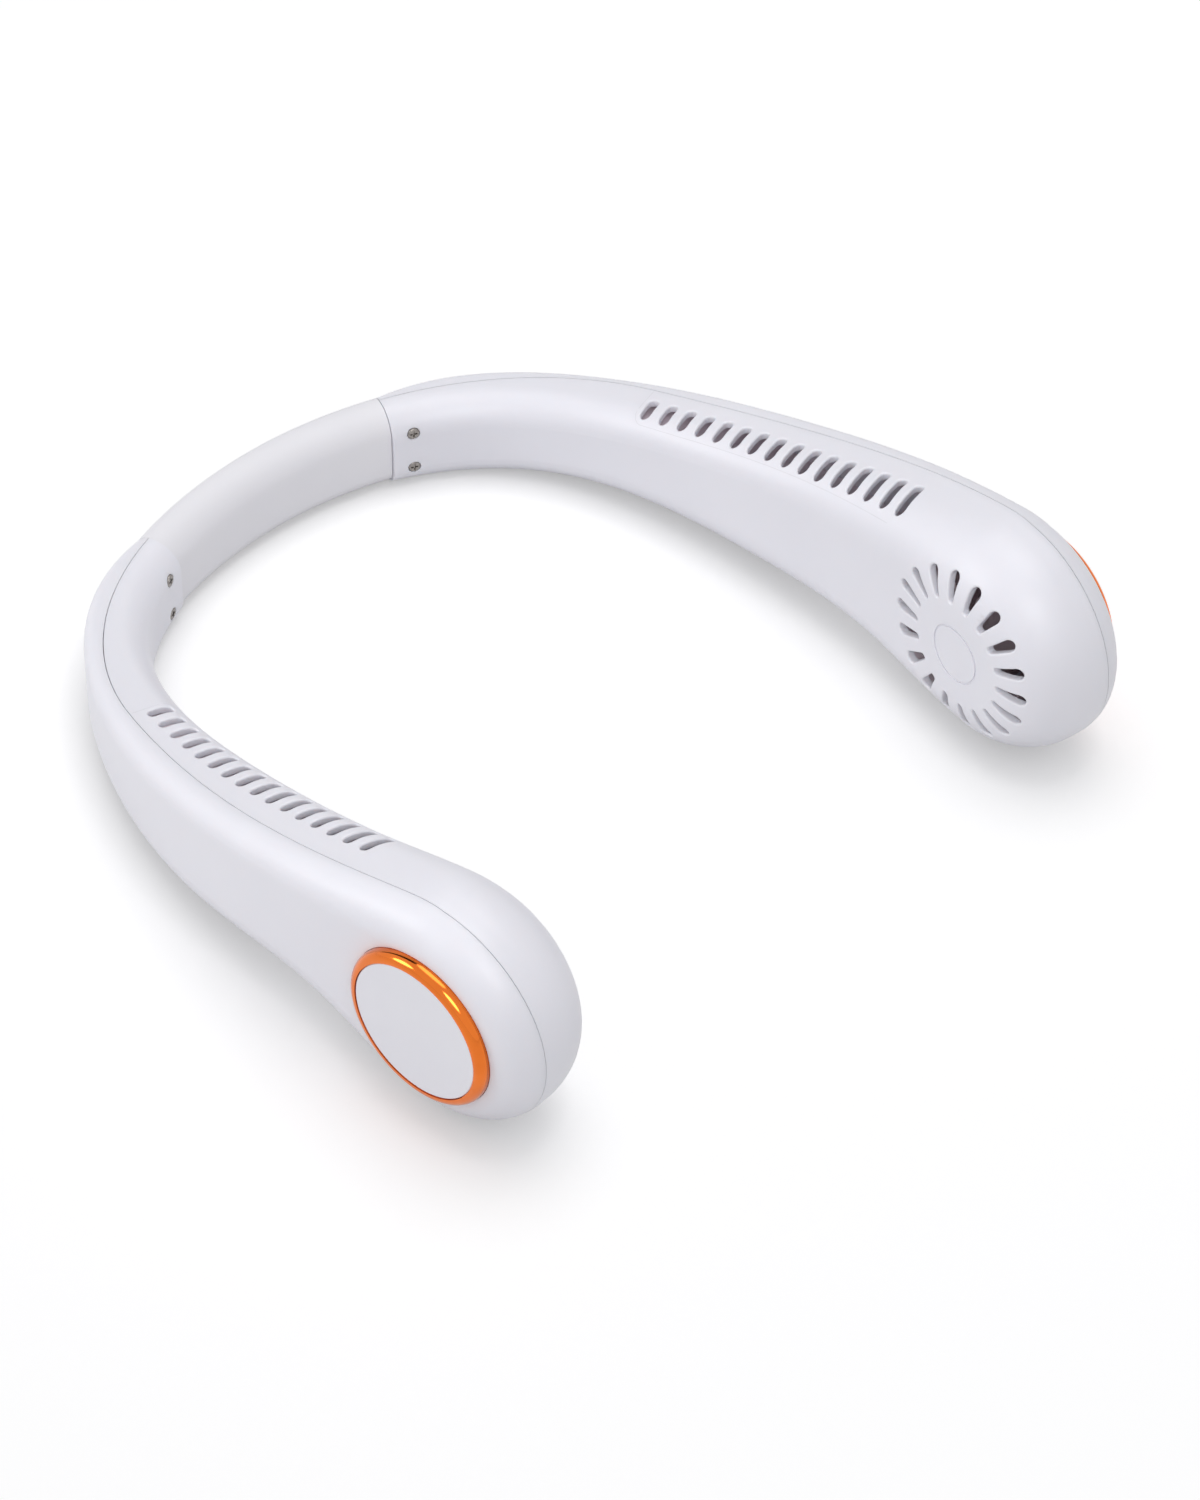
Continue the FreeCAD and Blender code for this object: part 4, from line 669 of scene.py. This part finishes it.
soft_box("overhead_box", place=(0.20, 0.10, 1.30), target=(0.0, 0.0, 0.0), size=1.0, power=5.2)
key = soft_box("key_box", place=(-0.95, 0.75, 0.60), target=FAN_MIDDLE, size=0.6, power=4.5)
fill = soft_box("fill_box", place=(-0.62, -0.69, 0.91), target=FAN_MIDDLE, size=0.6, power=4.5)

# %% [markdown]
# ## A flag for the plated rings
# Shiny plating only looks like metal if it has something dark to mirror. Photographers hang a
# black card, a flag, outside the picture. Painting a dark streak on the ring would look right
# from one side only. This card stands behind the fan, and it is hidden from every kind of ray
# but reflections, so it casts no shade.

# %% Flag behind the fan
FLAG_PLACE, FLAG_WIDTH, FLAG_HEIGHT = Vector((0.35, 1.2, 1.1)), 0.9, 1.9
FLAG_BLACK = (0.01, 0.01, 0.01, 1.0)
flag_black = bpy.data.materials.new("flag_black")
flag_black.use_nodes = True
set_sockets(flag_black.node_tree.nodes["Principled BSDF"], {"Base Color": FLAG_BLACK})
bpy.ops.mesh.primitive_plane_add(size=1.0, location=FLAG_PLACE)
flag = bpy.context.object
flag.name = "flag"
flag.rotation_euler = (math.radians(90), 0.0, 0.0)
flag.scale = (FLAG_WIDTH, FLAG_HEIGHT, 1.0)
flag.data.materials.append(flag_black)
for ray in ("camera", "diffuse", "transmission", "shadow"):
    setattr(flag, f"visible_{ray}", False)
print("flag of", FLAG_WIDTH, "by", FLAG_HEIGHT, "m behind the fan")

# %% [markdown]
# ## The sky
# The photograph is white all round the fan. More light would make it white, but it would burn
# out the fan as well. The light path node tells what kind of ray asks, so the sky is fully
# white for what the camera sees and for reflections, and weaker where it only lights things.

# %% Sky
SKY_TINT = (0.985, 0.985, 1.0, 1.0)
SKY_LIGHT, SKY_SEEN = 0.45, 1.0


def seen_directly(tree):
    """1 for rays from the camera, from a mirror or through glass; 0 for light on its way."""
    path = tree.nodes.new("ShaderNodeLightPath")
    total = path.outputs["Is Camera Ray"]
    for name in ("Is Glossy Ray", "Is Transmission Ray"):
        either = tree.nodes.new("ShaderNodeMath")
        either.operation = "MAXIMUM"
        tree.links.new(total, either.inputs[0])
        tree.links.new(path.outputs[name], either.inputs[1])
        total = either.outputs["Value"]
    return total


world = bpy.data.worlds.new("studio")
world.use_nodes = True
bpy.context.scene.world = world
world_tree = world.node_tree
backdrop = world_tree.nodes["Background"]
backdrop.inputs["Color"].default_value = SKY_TINT
strength = world_tree.nodes.new("ShaderNodeMapRange")
strength.inputs["To Min"].default_value = SKY_LIGHT
strength.inputs["To Max"].default_value = SKY_SEEN
world_tree.links.new(seen_directly(world_tree), strength.inputs["Value"])
world_tree.links.new(strength.outputs["Result"], backdrop.inputs["Strength"])
bpy.context.scene.view_settings.view_transform = "Standard"
print("sky lights with", SKY_LIGHT, "and is seen as", SKY_SEEN)

# %% [markdown]
# ## The table's surface
# The fan lies on a white sheet that melts into the background, with a narrow soft shade where
# it touches. Light alone would give a wide grey shade. The ambient occlusion node tells how
# open each spot of the sheet is, and the closed ones get a darker white: painted shade in the
# sheet's colour, on top of the real shade from the sky and the overhead box. A little glow, for
# the camera and for reflections only, lifts the sheet to the white of the sky.

# %% Table material
# The second white is the darkest painted contact shadow in the sheet's colour.
TABLE_WHITE, PAINTED_SHADE_WHITE = 0.97, 0.69
SHADOW_REACH, SHADE_FULL = 9.0 * MM, 0.3
TABLE_GLOW = 0.325
table_white = bpy.data.materials.new("table_white")
table_white.use_nodes = True
tree = table_white.node_tree
tree.nodes.remove(tree.nodes["Principled BSDF"])
paper = tree.nodes.new("ShaderNodeBsdfDiffuse")
# Painted contact shadow: ambient occlusion darkens the sheet's colour where it is closed in.
shelter = tree.nodes.new("ShaderNodeAmbientOcclusion")
shelter.inputs["Distance"].default_value = SHADOW_REACH
shade = tree.nodes.new("ShaderNodeMapRange")
shade.inputs["From Min"].default_value = SHADE_FULL
shade.inputs["To Min"].default_value = PAINTED_SHADE_WHITE
shade.inputs["To Max"].default_value = TABLE_WHITE
tree.links.new(shelter.outputs["AO"], shade.inputs["Value"])
tree.links.new(shade.outputs["Result"], paper.inputs["Color"])
glow = tree.nodes.new("ShaderNodeEmission")
lift = tree.nodes.new("ShaderNodeMath")
lift.operation = "MULTIPLY"
lift.inputs[1].default_value = TABLE_GLOW
tree.links.new(seen_directly(tree), lift.inputs[0])
tree.links.new(lift.outputs["Value"], glow.inputs["Strength"])
together = tree.nodes.new("ShaderNodeAddShader")
tree.links.new(paper.outputs["BSDF"], together.inputs[0])
tree.links.new(glow.outputs["Emission"], together.inputs[1])
tree.links.new(together.outputs["Shader"], tree.nodes["Material Output"].inputs["Surface"])
print("table white from", PAINTED_SHADE_WHITE, "at the contact to", TABLE_WHITE)

# %% [markdown]
# ## The table
# The sheet is one large plane, a hair below the fan so that the two don't share a surface. The
# key and the fill shine from the side and would throw shadows that the photograph doesn't have.
# They could be made weaker, but then the arms would go flat. Light linking lets a lamp skip an
# object, so these two light the fan and not the table.

# %% Table under the fan
TABLE_SIZE, TABLE_DROP = 12.0, 0.2 * MM
bpy.ops.mesh.primitive_plane_add(size=TABLE_SIZE, location=(0.0, 0.0, -TABLE_DROP))
table = bpy.context.object
table.name = "table"
table.data.materials.append(table_white)
unlit = bpy.data.collections.new("not_lit_by_key")
unlit.objects.link(table)
unlit.collection_objects[0].light_linking.link_state = "EXCLUDE"
for lamp in (key, fill):
    lamp.light_linking.receiver_collection = unlit
print("table under the fan, skipped by", [lamp.name for lamp in (key, fill)])
